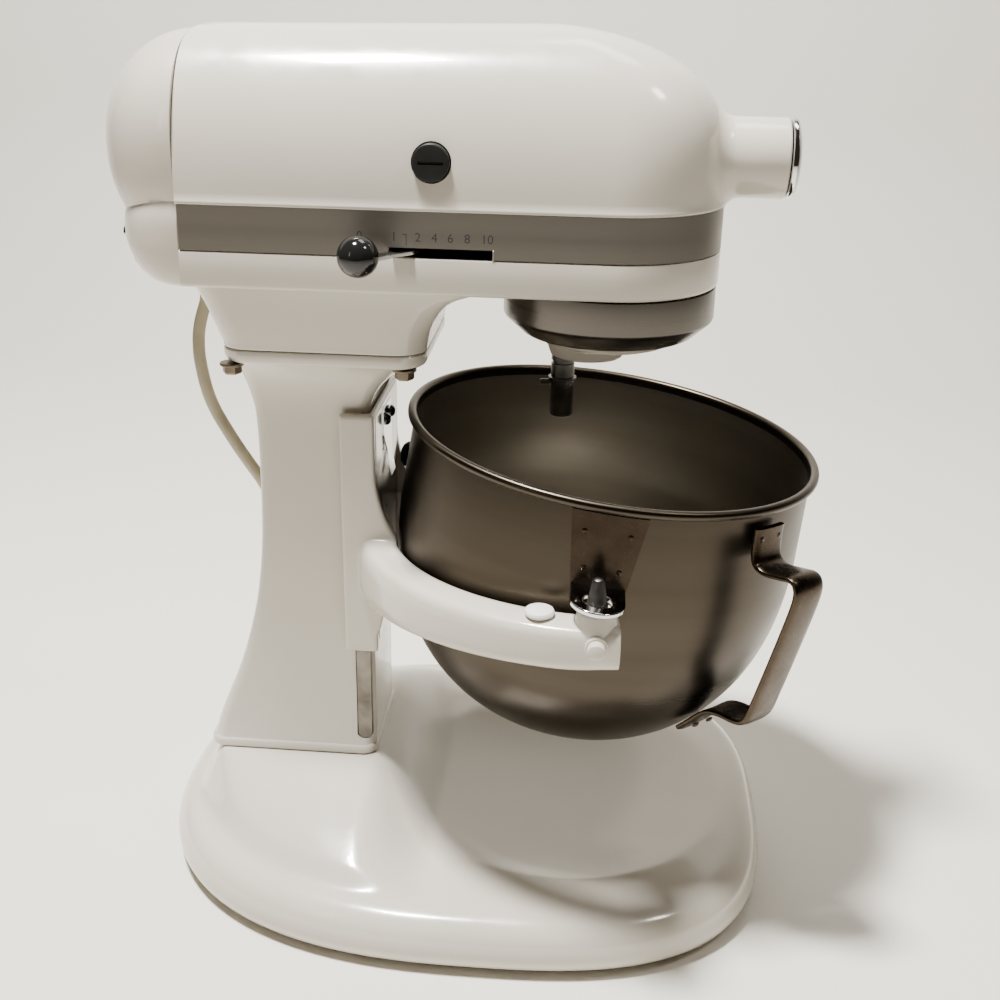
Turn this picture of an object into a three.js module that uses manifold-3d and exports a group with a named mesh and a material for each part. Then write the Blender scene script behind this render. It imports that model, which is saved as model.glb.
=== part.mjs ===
// A bowl-lift stand mixer in millimetres, +Z up, nose towards +X.
// It is drawn about the planetary axis (X = 0, Y = 0) with the table at Z = 0,
// and the finished group is shifted so that its origin is the bottom centre of its box.
import * as THREE from 'three';
import { mergeVertices } from 'three/addons/utils/BufferGeometryUtils.js';
import Module from 'manifold-3d';

const wasm = await Module();
wasm.setup();

// ---- Driving dimensions ----------------------------------------------------
const HEIGHT = 430; // table to the top of the head
const GAP = 0.3; // clearance between touching pieces
const WALL = 3.5; // die-cast housing wall

// Head
const HEAD_HALF = 51.7; // half width of the head, and radius of its round nose
const REAR_SEAM_X = -195; // rear face of the housings, where the rear cover starts
const PART_Z = 343; // parting plane of the two housings, hidden by the trim band
const BAND_TOP = 352.6;
const BAND_BOTTOM = 332.3;
const BAND_RECESS = 1.2;
const HEAD_BOTTOM = 315;
const HUB_Z = 373.7; // height of the motor and attachment hub axis
const HUB_R = 18.3;
const HUB_END_X = 78.5;
const ARCH_POWER = 2.2; // superellipse power of the head's arched section
const COVER_DEPTH = 44.4;
const BRUSH = { x: -80, r: 6.5 };
const COVER_BOTTOM = 314;
const TOP_SLOPE = 0.016; // the top line falls gently towards the rear

// Neck and column
const NECK_SEAM_Z = 285;
const FLANGE_Z = 277.5;
const FLANGE = { rear: -182, front: -84.3, half: 46.5, corner: 14 };
const COLUMN_FRONT = -114;
const COLUMN_HALF = 30.5;
const COLUMN_FOOT_Z = 57.8;
const RAIL = { x: -119.3, width: 8, bottom: 66, top: 250, depth: 3 };
const FLANGE_SCREWS = [[-177, -40], [-177, 40], [-94.5, -38.5], [-94.5, 38.5]];

// Lift lever
const LIFT = { x: -143, z: 178, y: 46, length: 78 };

// Base
const BASE = { middle: -60, front: 157, rear: 168, half: 131.5, powerFront: 2.9, powerRear: 2.35 };
const BASE_HUB_X = -75; // the rings of the deck close in on this point
const FOOT_HEIGHT = 3;
const DECK_Z = 29;
const CROWN = 28.4; // how far the deck rises to the column's foot
const DISH = { x: -12, radius: 88.7, depth: 11 };
const FEET = [[-185, -70], [-185, 70], [35, -85], [35, 85], [-205, 0]];

// Bowl support
const YOKE = { rear: -127.5, front: -110.6, half: 36.8, inner: 31.6, bottom: 123, top: 252 };
const ARM = { x: 4, inner: 107.8, outer: 128.5, end: 12, top: 190.5, pad: 196 };
const PIVOT = { x: 1, z: 199, y: 117.5 }; // locating pins that carry the bowl's ears
const LATCH_SCREWS = [-6.75, 6.75];
const LATCH_Z = 241;
const BUMPER = { x: -24, y: 115 };
const STUD = { x: 1.5, z: 183 };
const BOWL_TILT = THREE.MathUtils.degToRad(6.9); // the bowl leans nose down until it is latched

// Bowl, about the centre of its rim
const BOWL = { rimHeight: 38, wallTop: 100.3, wallMid: 102.4, midDepth: 47, depth: 160.2, power: 2.3 };
const BOWL_WALL = 1.5;
const BOWL_SIDES = 36;
const RIM_BEAD = 2.4;
const HANDLE_ANGLE = THREE.MathUtils.degToRad(-45);
const STRAP = { width: 20, thickness: 3 };
const EAR_HALF = 12.3;

// Gearing
const MODULE = 1.5;
const RING_TEETH = 42;
const PLANET_TEETH = 14;
const BEATER_X = -((RING_TEETH - PLANET_TEETH) * MODULE) / 2;
const FINAL_MODULE = 2;
const CENTRE_TEETH = 39;
const IDLER_TEETH = 15;
const WORM_WHEEL_TEETH = 20;
const WORM_WHEEL_Y = 24.5;
const WORM_R = 6;
const FINAL_CENTRES = ((CENTRE_TEETH + IDLER_TEETH) * FINAL_MODULE) / 2;
const WORM_WHEEL_X = -Math.sqrt(FINAL_CENTRES ** 2 - WORM_WHEEL_Y ** 2);
const IDLER_ANGLE = Math.atan2(WORM_WHEEL_Y, WORM_WHEEL_X);
const PRESSURE = THREE.MathUtils.degToRad(20);

// Planetary, drip ring and beater shaft
const DRIP = { radius: 51, lip: 37.5, wallBottom: 298, bottom: 290 };
const PLANETARY_R = 36.4;
const SHAFT_R = 5.8;
const SHAFT_BOTTOM = 245;

// Speed lever
const SLOT = { from: -98, to: -52, top: 337.3 };
const LEVER_PIVOT = [-70, -19, 334.6];
const KNOB = [-108.6, -74, 336.5];
const KNOB_R = 9.1;

// Mains cord: a hand-placed route from the strain relief down to the table, then a coil
const CORD_R = 3.15;
const CORD_ROUTE = [
  [-202, 6, 300], [-202.4, 5.8, 295], [-204.8, 4.4, 287], [-206.2, 2.8, 279], [-206.2, 1.2, 270],
  [-205.2, 0.3, 262], [-203, 0, 250], [-198.7, 0, 238],
  [-189.9, 1, 221], [-183.7, 3.5, 209], [-179.6, 8.5, 198.5], [-178, 16, 188], [-177.6, 25, 177],
  [-177.6, 35, 165], [-177.2, 47, 150], [-175.6, 61, 131], [-172.6, 76, 107], [-168, 92, 79],
  [-161, 108, 52], [-152, 123.5, 31], [-141.5, 135, 15.5], [-130, 142, 7.2], [-117, 146, 3.7],
  [-102, 148.6, 3.15], [-85, 152, 3.15], [-68, 156.6, 3.15], [-50, 161.4, 3.15], [-32.5, 162.85, 3.15],
];
const COIL = { x: -10, y: 200, mean: 34, columns: 2, layers: 2 };
const RELIEF = { x: -202, y: 6, length: 13 };
const PLUG = { x: 27.15, y: 262.2, turn: 90 };

// ---- Materials -------------------------------------------------------------
function finish(color, roughness, metalness) {
  return new THREE.MeshStandardMaterial({ color, roughness, metalness });
}
const ENAMEL = finish(0xe9e3d8, 0.25, 0);
const COVER_ENAMEL = finish(0xdcd2c4, 0.3, 0);
const BRUSHED = finish(0x8f8a84, 0.4, 1);
const CHROME = finish(0xc9ccd0, 0.1, 1);
const STEEL = finish(0x6f6c68, 0.35, 1);
const BOWL_STEEL = finish(0x9b9388, 0.35, 1);
const DARK_STEEL = finish(0x35322f, 0.4, 1);
const BLACK_GLOSS = finish(0x050505, 0.12, 0);
const BLACK_MATT = finish(0x0b0b0b, 0.55, 0);
const RUBBER = finish(0x2a2a2a, 0.85, 0);
const NYLON = finish(0xece8de, 0.35, 0);
const BRASS = finish(0xb08a45, 0.35, 1);
const CAST = finish(0x6a6a6a, 0.5, 1);
const COPPER = finish(0x8a4b2a, 0.4, 1);
const CORD_VINYL = finish(0x8e8264, 0.5, 0);

// ---- Solids ----------------------------------------------------------------
function signedVolume(geometry) {
  const position = geometry.getAttribute('position');
  const index = geometry.getIndex();
  const [a, b, c] = [new THREE.Vector3(), new THREE.Vector3(), new THREE.Vector3()];
  let sum = 0;
  for (let i = 0; i < index.count; i += 3) {
    a.fromBufferAttribute(position, index.getX(i));
    b.fromBufferAttribute(position, index.getX(i + 1));
    c.fromBufferAttribute(position, index.getX(i + 2));
    sum += a.dot(b.cross(c)) / 6;
  }
  return sum;
}

// A closed geometry as a manifold solid with its faces pointing out
function solid(geometry) {
  const bare = geometry.clone();
  bare.deleteAttribute('normal');
  bare.deleteAttribute('uv');
  const merged = mergeVertices(bare, 1e-4);
  const triVerts = new Uint32Array(merged.getIndex().array);
  const insideOut = signedVolume(merged) < 0;
  for (let i = 0; insideOut && i < triVerts.length; i += 3) {
    [triVerts[i], triVerts[i + 1]] = [triVerts[i + 1], triVerts[i]];
  }
  const vertProperties = new Float32Array(merged.getAttribute('position').array);
  return new wasm.Manifold(new wasm.Mesh({ numProp: 3, vertProperties, triVerts }));
}

function toGeometry(body) {
  const { vertProperties, triVerts } = body.getMesh();
  const geometry = new THREE.BufferGeometry();
  geometry.setAttribute('position', new THREE.BufferAttribute(new Float32Array(vertProperties), 3));
  geometry.setIndex(new THREE.BufferAttribute(new Uint32Array(triVerts), 1));
  geometry.computeVertexNormals();
  return geometry;
}

const join = (first, ...others) => others.reduce((sum, other) => sum.add(other), first);
const cut = (first, ...others) => others.reduce((rest, other) => rest.subtract(other), first);

// A straight rod or cone along one axis, from a start point
function rod(axis, [x, y, z], length, r1, r2 = r1, sides = 14) {
  const geometry = new THREE.CylinderGeometry(r2, r1, length, sides);
  geometry.translate(0, length / 2, 0);
  if (axis === 'z') geometry.rotateX(Math.PI / 2);
  if (axis === 'x') geometry.rotateZ(-Math.PI / 2);
  return solid(geometry.translate(x, y, z));
}

function block(x0, x1, y0, y1, z0, z1) {
  const geometry = new THREE.BoxGeometry(x1 - x0, y1 - y0, z1 - z0);
  return solid(geometry.translate((x0 + x1) / 2, (y0 + y1) / 2, (z0 + z1) / 2));
}

// A turned piece: [radius, height] points from the axis back to the axis, about Z
function turned(profile, sides = 24) {
  const geometry = new THREE.LatheGeometry(profile.map(([r, h]) => new THREE.Vector2(r, h)), sides);
  return solid(geometry.rotateX(Math.PI / 2));
}

// The same, about the X axis, with the height running towards +X
function turnedAlongX(profile, [x, y, z], sides = 28) {
  const geometry = new THREE.LatheGeometry(profile.map(([r, h]) => new THREE.Vector2(r, h)), sides);
  return solid(geometry.rotateZ(-Math.PI / 2).translate(x, y, z));
}

function plate(shape, z0, z1, curveSegments = 10) {
  const geometry = new THREE.ExtrudeGeometry(shape, { depth: z1 - z0, bevelEnabled: false, curveSegments });
  return solid(geometry.translate(0, 0, z0));
}

// A skin through rings of equal point counts, closed at both ends by fans
function loft(rings) {
  const count = rings[0].length;
  const points = rings.flat();
  const indices = [];
  for (let i = 0; i + 1 < rings.length; i += 1) {
    for (let j = 0; j < count; j += 1) {
      const k = (j + 1) % count;
      const [a, b, c, d] = [i * count + j, i * count + k, (i + 1) * count + k, (i + 1) * count + j];
      indices.push(a, b, c, a, c, d);
    }
  }
  for (const [ring, flip] of [[0, true], [rings.length - 1, false]]) {
    const middle = new THREE.Vector3();
    rings[ring].forEach((point) => middle.add(point));
    points.push(middle.divideScalar(count));
    for (let j = 0; j < count; j += 1) {
      const edge = [ring * count + j, ring * count + ((j + 1) % count)];
      if (flip) edge.reverse();
      indices.push(...edge, points.length - 1);
    }
  }
  const geometry = new THREE.BufferGeometry();
  const flat = points.flatMap((p) => [p.x, p.y, p.z]);
  geometry.setAttribute('position', new THREE.Float32BufferAttribute(flat, 3));
  geometry.setIndex(indices);
  return solid(geometry);
}

// One horizontal ring of a box with rounded corners
function roundedRing(z, rear, front, half, corner, steps = 3) {
  const ring = [];
  const centres = [[front - corner, half - corner], [rear + corner, half - corner],
    [rear + corner, corner - half], [front - corner, corner - half]];
  centres.forEach(([x, y], quarter) => {
    for (let i = 0; i <= steps; i += 1) {
      const angle = ((quarter + i / steps) * Math.PI) / 2;
      ring.push(new THREE.Vector3(x + corner * Math.cos(angle), y + corner * Math.sin(angle), z));
    }
  });
  return ring;
}

const superX = (angle, power) => Math.sign(Math.cos(angle)) * Math.abs(Math.cos(angle)) ** (2 / power);
const superY = (angle, power) => Math.sign(Math.sin(angle)) * Math.abs(Math.sin(angle)) ** (2 / power);

function smooth(edge0, edge1, value) {
  return THREE.MathUtils.smoothstep(value, edge0, edge1);
}

const parts = new THREE.Group();
function add(name, body, material, parent = parts) {
  const piece = new THREE.Mesh(body.isBufferGeometry ? body : toGeometry(body), material);
  piece.name = name;
  parent.add(piece);
  return piece;
}

// ---- Head ------------------------------------------------------------------
// Half width of the arched section at a height above the band
function archHalf(z, half = HEAD_HALF, top = HEIGHT) {
  const t = THREE.MathUtils.clamp((z - BAND_TOP) / (top - BAND_TOP), 0, 1);
  return half * (1 - t ** ARCH_POWER) ** (1 / ARCH_POWER);
}

// One horizontal ring of the head: straight sides and a round nose that reaches noseX
function headRing(z, half, noseX, rearX, noseSteps = 10) {
  const centre = noseX - half;
  const ring = [new THREE.Vector3(rearX, half, z), new THREE.Vector3(rearX, -half, z)];
  for (const part of [0.35, 0.7]) ring.push(new THREE.Vector3(rearX + (centre - rearX) * part, -half, z));
  for (let i = 0; i <= noseSteps; i += 1) {
    const angle = (i / noseSteps - 0.5) * Math.PI;
    ring.push(new THREE.Vector3(centre + half * Math.cos(angle), half * Math.sin(angle), z));
  }
  for (const part of [0.7, 0.35]) ring.push(new THREE.Vector3(rearX + (centre - rearX) * part, half, z));
  return ring;
}

// Side profile of the nose, from the band up to the top line
const NOSE = new THREE.SplineCurve([
  [355, 51.7], [385, 51.2], [397, 46.8], [408.5, 36], [415, 26], [420, 14.5], [425.5, 0], [428.7, -14],
  [HEIGHT, -32],
].map(([z, x]) => new THREE.Vector2(x, z)));

function sinkTowardsRear(ring) {
  for (const point of ring) {
    const rise = Math.max(0, (point.z - BAND_TOP) / (HEIGHT - BAND_TOP));
    point.z -= TOP_SLOPE * Math.max(0, -30 - point.x) * rise ** 2;
  }
  return ring;
}

function upperSkin(inset, rearX, bottomRings) {
  const rings = bottomRings;
  const steps = 8;
  for (let i = 0; i <= steps; i += 1) {
    const { x, y: z } = NOSE.getPoint(0.985 * (i / steps) ** 0.9);
    const half = archHalf(z);
    const lowered = BAND_TOP + ((z - BAND_TOP) * (HEIGHT - inset - BAND_TOP)) / (HEIGHT - BAND_TOP);
    const rounding = 6 * (1 - Math.sqrt(1 - THREE.MathUtils.clamp((z - HEIGHT + 8) / 8, 0, 1) ** 2));
    const rear = rearX + (inset ? 0 : rounding);
    rings.push(sinkTowardsRear(headRing(lowered, Math.max(half - inset, 3), x - inset, rear)));
  }
  return loft(rings);
}

function upperHousing() {
  const recess = HEAD_HALF - BAND_RECESS;
  const lip = HEAD_HALF + 0.6;
  const outer = upperSkin(0, REAR_SEAM_X, [
    headRing(PART_Z, recess, recess, REAR_SEAM_X), headRing(BAND_TOP + 0.2, recess, recess, REAR_SEAM_X),
    headRing(BAND_TOP + 0.4, lip, lip, REAR_SEAM_X), headRing(BAND_TOP + 1.8, lip, lip, REAR_SEAM_X),
  ]);
  const room = HEAD_HALF - WALL;
  const inner = upperSkin(WALL, REAR_SEAM_X - 5, [headRing(PART_Z - 1, room, room, REAR_SEAM_X - 5)]);
  const collarProfile = [
    [0, 30], [19, 30], [20.4, 50], [19, 53], [HUB_R, 57], [HUB_R, HUB_END_X], [0, HUB_END_X],
  ];
  const collar = turnedAlongX(collarProfile, [0, 0, HUB_Z]);
  const shell = cut(outer, inner);
  const boss = cut(collar, inner);
  const socket = rod('x', [20, 0, HUB_Z], 70, 13.5);
  const thumbHole = rod('y', [68, 8, HUB_Z], 20, 3.3);
  const brushHole = rod('y', [BRUSH.x, -60, HUB_Z], 120, BRUSH.r + GAP);
  return cut(join(shell, boss), socket, thumbHole, brushHole);
}

// The lower housing carries the gears and ends in the neck that sits on the column
const NECK_PROFILE = [ // z, rear, front, half width
  [317, -193.5, -50, 50.6], [314.8, -193.3, -56, 50.4], [311, -191.2, -69.5, 49.8],
  [306, -188.8, -76.3, 49.1], [297, -185.6, -81.4, 47.9],
  [NECK_SEAM_Z, FLANGE.rear, FLANGE.front, FLANGE.half],
];

function lowerHousing() {
  const recess = HEAD_HALF - BAND_RECESS;
  const levels = [
    [HEAD_BOTTOM, HEAD_HALF - 1.6], [HEAD_BOTTOM + 1.6, HEAD_HALF], [BAND_BOTTOM - GAP, HEAD_HALF],
    [BAND_BOTTOM - 0.1, recess], [PART_Z - GAP, recess],
  ];
  const tub = loft(levels.map(([z, half]) => headRing(z, half, half, REAR_SEAM_X)));
  const room = HEAD_HALF - WALL;
  const inside = loft([319, PART_Z + 1].map((z) => headRing(z, room, room, REAR_SEAM_X + WALL)));
  const neck = loft(NECK_PROFILE.map((row) => roundedRing(...row, FLANGE.corner)));
  const [wellRear, wellFront, wellHalf] = [FLANGE.rear + 9, FLANGE.front - 9, FLANGE.half - 7];
  const well = loft([292, 322].map((z) => roundedRing(z, wellRear, wellFront, wellHalf, 8)));
  const boss = rod('z', [0, 0, HEAD_BOTTOM], 14, 13);
  const leverBoss = rod('z', [LEVER_PIVOT[0], LEVER_PIVOT[1], HEAD_BOTTOM + 1], 15, 5);
  const bore = rod('z', [0, 0, HEAD_BOTTOM - 5], 30, 5.5 + GAP);
  const leverSlot = block(SLOT.from, SLOT.to, -HEAD_HALF - 5, -HEAD_HALF + 8, BAND_BOTTOM, SLOT.top);
  const screwHoles = FLANGE_SCREWS.map(([x, y]) => rod('z', [x, y, NECK_SEAM_Z - 5], 13, 2.8));
  return cut(join(cut(join(tub, neck), inside, well), boss, leverBoss), bore, leverSlot, ...screwHoles);
}

// A thin strip that wraps the nose and both sides between the two housings
function trimBand() {
  const rearX = REAR_SEAM_X + 0.5;
  const rings = (half, low, high) => [low, high].map((z) => headRing(z, half, half, rearX));
  const outer = loft(rings(HEAD_HALF - 0.1, BAND_BOTTOM, BAND_TOP));
  const inner = loft(rings(HEAD_HALF - BAND_RECESS + GAP, BAND_BOTTOM - 1, BAND_TOP + 1));
  const between = HEAD_HALF - 0.9;
  const openRear = block(rearX - 1.5, rearX + 2.5, -between, between, BAND_BOTTOM - 1, BAND_TOP + 1);
  const slot = block(SLOT.from, SLOT.to, -60, -40, BAND_BOTTOM - 1, SLOT.top);
  return cut(outer, inner, openRear, slot);
}

// The rear cover: a round end bell on top of a boxier terminal block, hollow towards the front
function bell(inset) {
  const steps = 6;
  const rings = [];
  const start = REAR_SEAM_X - GAP + inset * 2;
  for (let i = 0; i < steps; i += 1) {
    const s = Math.sin((i / steps) * (Math.PI / 2));
    const scale = Math.sqrt(1 - s * s);
    const ring = [];
    for (let j = 0; j < 24; j += 1) {
      const angle = (j / 24) * 2 * Math.PI;
      const y = (HEAD_HALF - 1 - inset) * superX(angle, ARCH_POWER);
      const z = (53 - inset) * superY(angle, ARCH_POWER);
      ring.push(new THREE.Vector3(start - (COVER_DEPTH + inset) * s, y * scale, 373 + z * scale));
    }
    rings.push(ring);
  }
  return loft(rings);
}

function terminalBlock(inset) {
  const depth = COVER_DEPTH - 7 - inset;
  const levels = [ // z, how far the plan shrinks
    [COVER_BOTTOM, 13], [COVER_BOTTOM + 2, 9], [320, 5], [326, 2], [334, 0], [345, 1], [353, 6],
  ];
  const front = REAR_SEAM_X - GAP + inset * 2;
  return loft(levels.map(([z, shrink]) => {
    const height = Math.max(z, COVER_BOTTOM + inset);
    const ring = [];
    for (let j = 0; j <= 12; j += 1) {
      const angle = Math.PI / 2 + (j / 12) * Math.PI;
      const x = front + (depth + inset * 2 - shrink) * superX(angle, 2.2);
      const y = (HEAD_HALF - 1 - inset - shrink * 0.4) * superY(angle, 2.2);
      ring.push(new THREE.Vector3(x, y, height));
    }
    return ring;
  }));
}

function rearCover() {
  const screwHole = rod('x', [-250, 0, 330], 30, 2.2);
  const vents = [-31, -21, 21, 31].map((y) => block(-224, -206, y - 2.5, y + 2.5, 305, 325));
  const cordHole = rod('z', [RELIEF.x, RELIEF.y, 305], 20, 4.2 + GAP);
  const shell = join(bell(0), terminalBlock(0));
  return cut(shell, bell(3), terminalBlock(3), screwHole, cordHole, ...vents);
}

function rearCoverScrew() {
  const shank = rod('x', [-237, 0, 330], 12, 1.9, 1.9, 10);
  return join(shank, rod('x', [-239, 0, 330], 3, 3.2, 4));
}

// The ring wall drops from the head, turns in at the bottom and ends in a small lip
function dripRing() {
  const { radius, lip, wallBottom, bottom } = DRIP;
  const top = HEAD_BOTTOM - GAP;
  const inner = radius - 1.6;
  return turned([
    [inner, top], [radius, top], [radius, wallBottom], [inner, wallBottom - 2.4], [lip + 4, bottom],
    [lip, bottom], [lip, bottom + 1.5], [lip + 3.6, bottom + 1.5], [inner - 1, wallBottom - 1.4],
    [inner, wallBottom + 1], [inner, top],
  ], 32);
}

function hubCap() {
  const profile = [
    [0, -6], [11, -6], [11, 0.4], [18.6, 0.4], [18.8, 2.4], [16.5, 4.4], [9, 5.6], [0, 6],
  ];
  return turnedAlongX(profile, [HUB_END_X, 0, HUB_Z]);
}

function thumbScrew() {
  const knob = turned([[0, 0], [8, 0], [10.5, 3], [10.5, 9], [8, 12], [0, 13]], 18);
  const placed = knob.rotate([-90, 0, 0]).translate([68, HUB_R + 4, HUB_Z]);
  return join(rod('y', [68, 14.2, HUB_Z], 14, 3, 3, 16), placed);
}

function brushCap(side) {
  const cap = turned([[0, 0], [5.9, 0], [5.9, 8], [8.2, 8], [8.6, 9], [8.2, 10], [0, 10]], 16);
  const slotted = cut(cap, block(-5.5, 5.5, -0.9, 0.9, 8.8, 12));
  return slotted.rotate([side * -90, 0, 0]).translate([BRUSH.x, side * (HEAD_HALF - 8.2), HUB_Z]);
}

function carbonBrush(side) {
  const [low, high] = side < 0 ? [-40, -13.4] : [13.4, 40];
  return block(BRUSH.x - 3.5, BRUSH.x + 3.5, low, high, HUB_Z - 3, HUB_Z + 3);
}

// A flat bar drawn along -Y from the lever's pivot and turned towards the knob
function leverBar(outline, half) {
  const angle = Math.atan2(KNOB[1] - LEVER_PIVOT[1], KNOB[0] - LEVER_PIVOT[0]) + Math.PI / 2;
  const bar = plate(new THREE.Shape(outline.map(([x, y]) => new THREE.Vector2(x, y))), -half, half);
  return bar.rotate([0, 0, THREE.MathUtils.radToDeg(angle)]).translate(LEVER_PIVOT);
}

function speedLever() {
  const outline = [
    [-5, 3], [5, 3], [5.5, -30], [3.6, -46], [3.6, -58], [-3.6, -58], [-3.6, -46], [-5.5, -30],
  ];
  return leverBar(outline, 0.9);
}

function speedKnob() {
  const ball = solid(new THREE.SphereGeometry(KNOB_R, 16, 10).rotateX(Math.PI / 2).translate(...KNOB));
  return cut(ball, leverBar([[-4, 3], [4, 3], [4, -58.4], [-4, -58.4]], 1.3));
}

// ---- Gears -----------------------------------------------------------------
const involute = (angle) => Math.tan(angle) - angle;

// Outline of an involute gear with one tooth centred on the angle phase
function gearPoints(teeth, pitchR, rootR, tipR, play, phase = 0) {
  const baseR = pitchR * Math.cos(PRESSURE);
  const half = Math.PI / (2 * teeth) - play / (2 * pitchR) + involute(PRESSURE);
  const radii = [Math.max(rootR, baseR + 0.01), tipR];
  const flank = radii.map((r) => [r, half - involute(Math.acos(Math.min(1, baseR / r)))]);
  if (rootR < baseR - 0.5) flank.unshift([rootR, flank[0][1]]);
  const points = [];
  for (let i = 0; i < teeth; i += 1) {
    const centre = phase + (i / teeth) * 2 * Math.PI;
    const polar = (r, angle) => new THREE.Vector2(r * Math.cos(angle), r * Math.sin(angle));
    const side = (sign) => flank.map(([r, a]) => polar(r, centre + sign * a));
    points.push(...side(-1), ...side(1).reverse());
  }
  return points;
}

function spurGear(teeth, module, z0, z1, [x, y], phase, play = 0.3) {
  const pitchR = (teeth * module) / 2;
  const root = pitchR - 1.25 * module - 0.1;
  const shape = new THREE.Shape(gearPoints(teeth, pitchR, root, pitchR + 0.95 * module, play, phase));
  return plate(shape, z0, z1).translate([x, y, 0]);
}

function planetPinion() {
  const pinion = spurGear(PLANET_TEETH, MODULE, 304, 313.5, [BEATER_X, 0], Math.PI);
  return cut(pinion, rod('z', [BEATER_X, 0, 300], 4.4, SHAFT_R + GAP));
}

function ringGear() {
  const pitchR = (RING_TEETH * MODULE) / 2;
  const shape = new THREE.Shape().absarc(0, 0, 44, 0, 2 * Math.PI, false);
  const space = gearPoints(RING_TEETH, pitchR, pitchR - 0.9 * MODULE, pitchR + 1.3 * MODULE, -0.35, 0);
  shape.holes.push(new THREE.Path(space));
  return plate(shape, 303.5, HEAD_BOTTOM - GAP, 12);
}

// ---- Planetary head --------------------------------------------------------
function planetary() {
  const dome = turned([
    [0, 301], [29, 301], [29, 297], [34, 294], [PLANETARY_R, 291.5], [PLANETARY_R, 289.5],
    [33, 286.6], [27, 284], [18, 282], [0, 281],
  ]);
  const bossRings = [[290, 22, 20], [279, 18.5, 15.5], [276.6, 16, 13], [276, 13.5, 10.5]];
  const boss = loft(bossRings.map(([z, long, wide]) => {
    const ring = [];
    for (let j = 0; j < 18; j += 1) {
      const angle = (j / 18) * 2 * Math.PI;
      ring.push(new THREE.Vector3(-9.5 + long * Math.cos(angle), wide * Math.sin(angle), z));
    }
    return ring;
  }));
  const bore = rod('z', [BEATER_X, 0, 260], 60, SHAFT_R + GAP);
  const oilHole = rod('z', [-4, -9, 270], 12, 1.4, 1.4, 12);
  return cut(join(dome, boss), bore, oilHole);
}

function centreShaft() {
  const shaft = rod('z', [0, 0, 301 + GAP], 49, 5.5);
  const halfTooth = Math.PI / CENTRE_TEETH;
  const gear = spurGear(CENTRE_TEETH, FINAL_MODULE, 343.6, 349, [0, 0], IDLER_ANGLE + halfTooth);
  const bevel = turned([
    [0, 348.5], [33, 348.5], [38, 354], [37.5, 355.6], [25, 361.6], [10, 361.6], [0, 358],
  ]);
  return join(shaft, gear, bevel);
}

function beaterShaft() {
  const shaft = rod('z', [0, 0, SHAFT_BOTTOM + 1.2], 303 - SHAFT_BOTTOM, SHAFT_R);
  const tip = rod('z', [0, 0, SHAFT_BOTTOM], 1.3, SHAFT_R - 1.2, SHAFT_R);
  const collar = rod('z', [0, 0, 264.6], 1.2, SHAFT_R + 1.1);
  const groove = cut(rod('z', [0, 0, 271], 1.2, SHAFT_R + 2), rod('z', [0, 0, 270], 3, SHAFT_R - 0.5));
  const pinHole = rod('x', [-SHAFT_R - 1, 0, 262.2], 4.5, 1.7, 1.7, 16);
  return cut(join(shaft, tip, collar), groove, pinHole);
}

// ---- Motor and drive -------------------------------------------------------
function armature() {
  const shaft = rod('x', [-214, 0, HUB_Z], 180, 4);
  const core = rod('x', [-163, 0, HUB_Z], 45, 23, 23, 24);
  const commutator = rod('x', [-92, 0, HUB_Z], 22, 13, 13, 20);
  const worm = rod('x', [-62, 0, HUB_Z], 25, WORM_R - 0.4, WORM_R - 0.4, 20);
  const fan = rod('x', [-188, 0, HUB_Z], 3, 36, 36, 24);
  const blades = [];
  for (let i = 0; i < 8; i += 1) {
    const blade = new THREE.BoxGeometry(8, 22, 1.6).translate(-182, 23, 0);
    blades.push(solid(blade.rotateX((i / 8) * 2 * Math.PI).translate(0, 0, HUB_Z)));
  }
  return join(shaft, core, commutator, worm, fan, ...blades);
}

function stator() {
  const bore = rod('x', [-175, 0, HUB_Z], 70, 25, 25, 20);
  const iron = rod('x', [-165, 0, HUB_Z], 49, 38, 38, 20);
  const coils = [-116.5, -172.5].map((x) => rod('x', [x, 0, HUB_Z], 8, 35, 32, 20));
  return cut(join(iron, ...coils), bore);
}

function wormWheel() {
  const radius = WORM_WHEEL_Y - WORM_R;
  const shape = new THREE.Shape();
  for (let i = 0; i < WORM_WHEEL_TEETH * 4; i += 1) {
    const angle = (i / (WORM_WHEEL_TEETH * 4)) * 2 * Math.PI;
    const r = radius + (i % 4 < 2 ? 0 : -1.6);
    if (i === 0) shape.moveTo(r, 0);
    else shape.lineTo(r * Math.cos(angle), r * Math.sin(angle));
  }
  const wheel = plate(shape, HUB_Z - 4, HUB_Z + 4).translate([WORM_WHEEL_X, WORM_WHEEL_Y, 0]);
  const spindle = rod('z', [WORM_WHEEL_X, WORM_WHEEL_Y, 338], 52, 4);
  const toothAngle = IDLER_ANGLE + Math.PI;
  const centre = [WORM_WHEEL_X, WORM_WHEEL_Y];
  const idler = spurGear(IDLER_TEETH, FINAL_MODULE, 344, 348.6, centre, toothAngle);
  return join(wheel, spindle, idler);
}

// Bevel wheel, shaft and square socket that turn an attachment in the hub
function hubDrive() {
  const bevel = turnedAlongX([[0, 24], [10, 24], [17.5, 37], [17.5, 41], [8, 41], [8, 60], [0, 60]],
    [0, 0, HUB_Z]);
  const socket = block(48, 62, -4.2, 4.2, HUB_Z - 4.2, HUB_Z + 4.2);
  return cut(bevel, socket);
}

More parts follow.
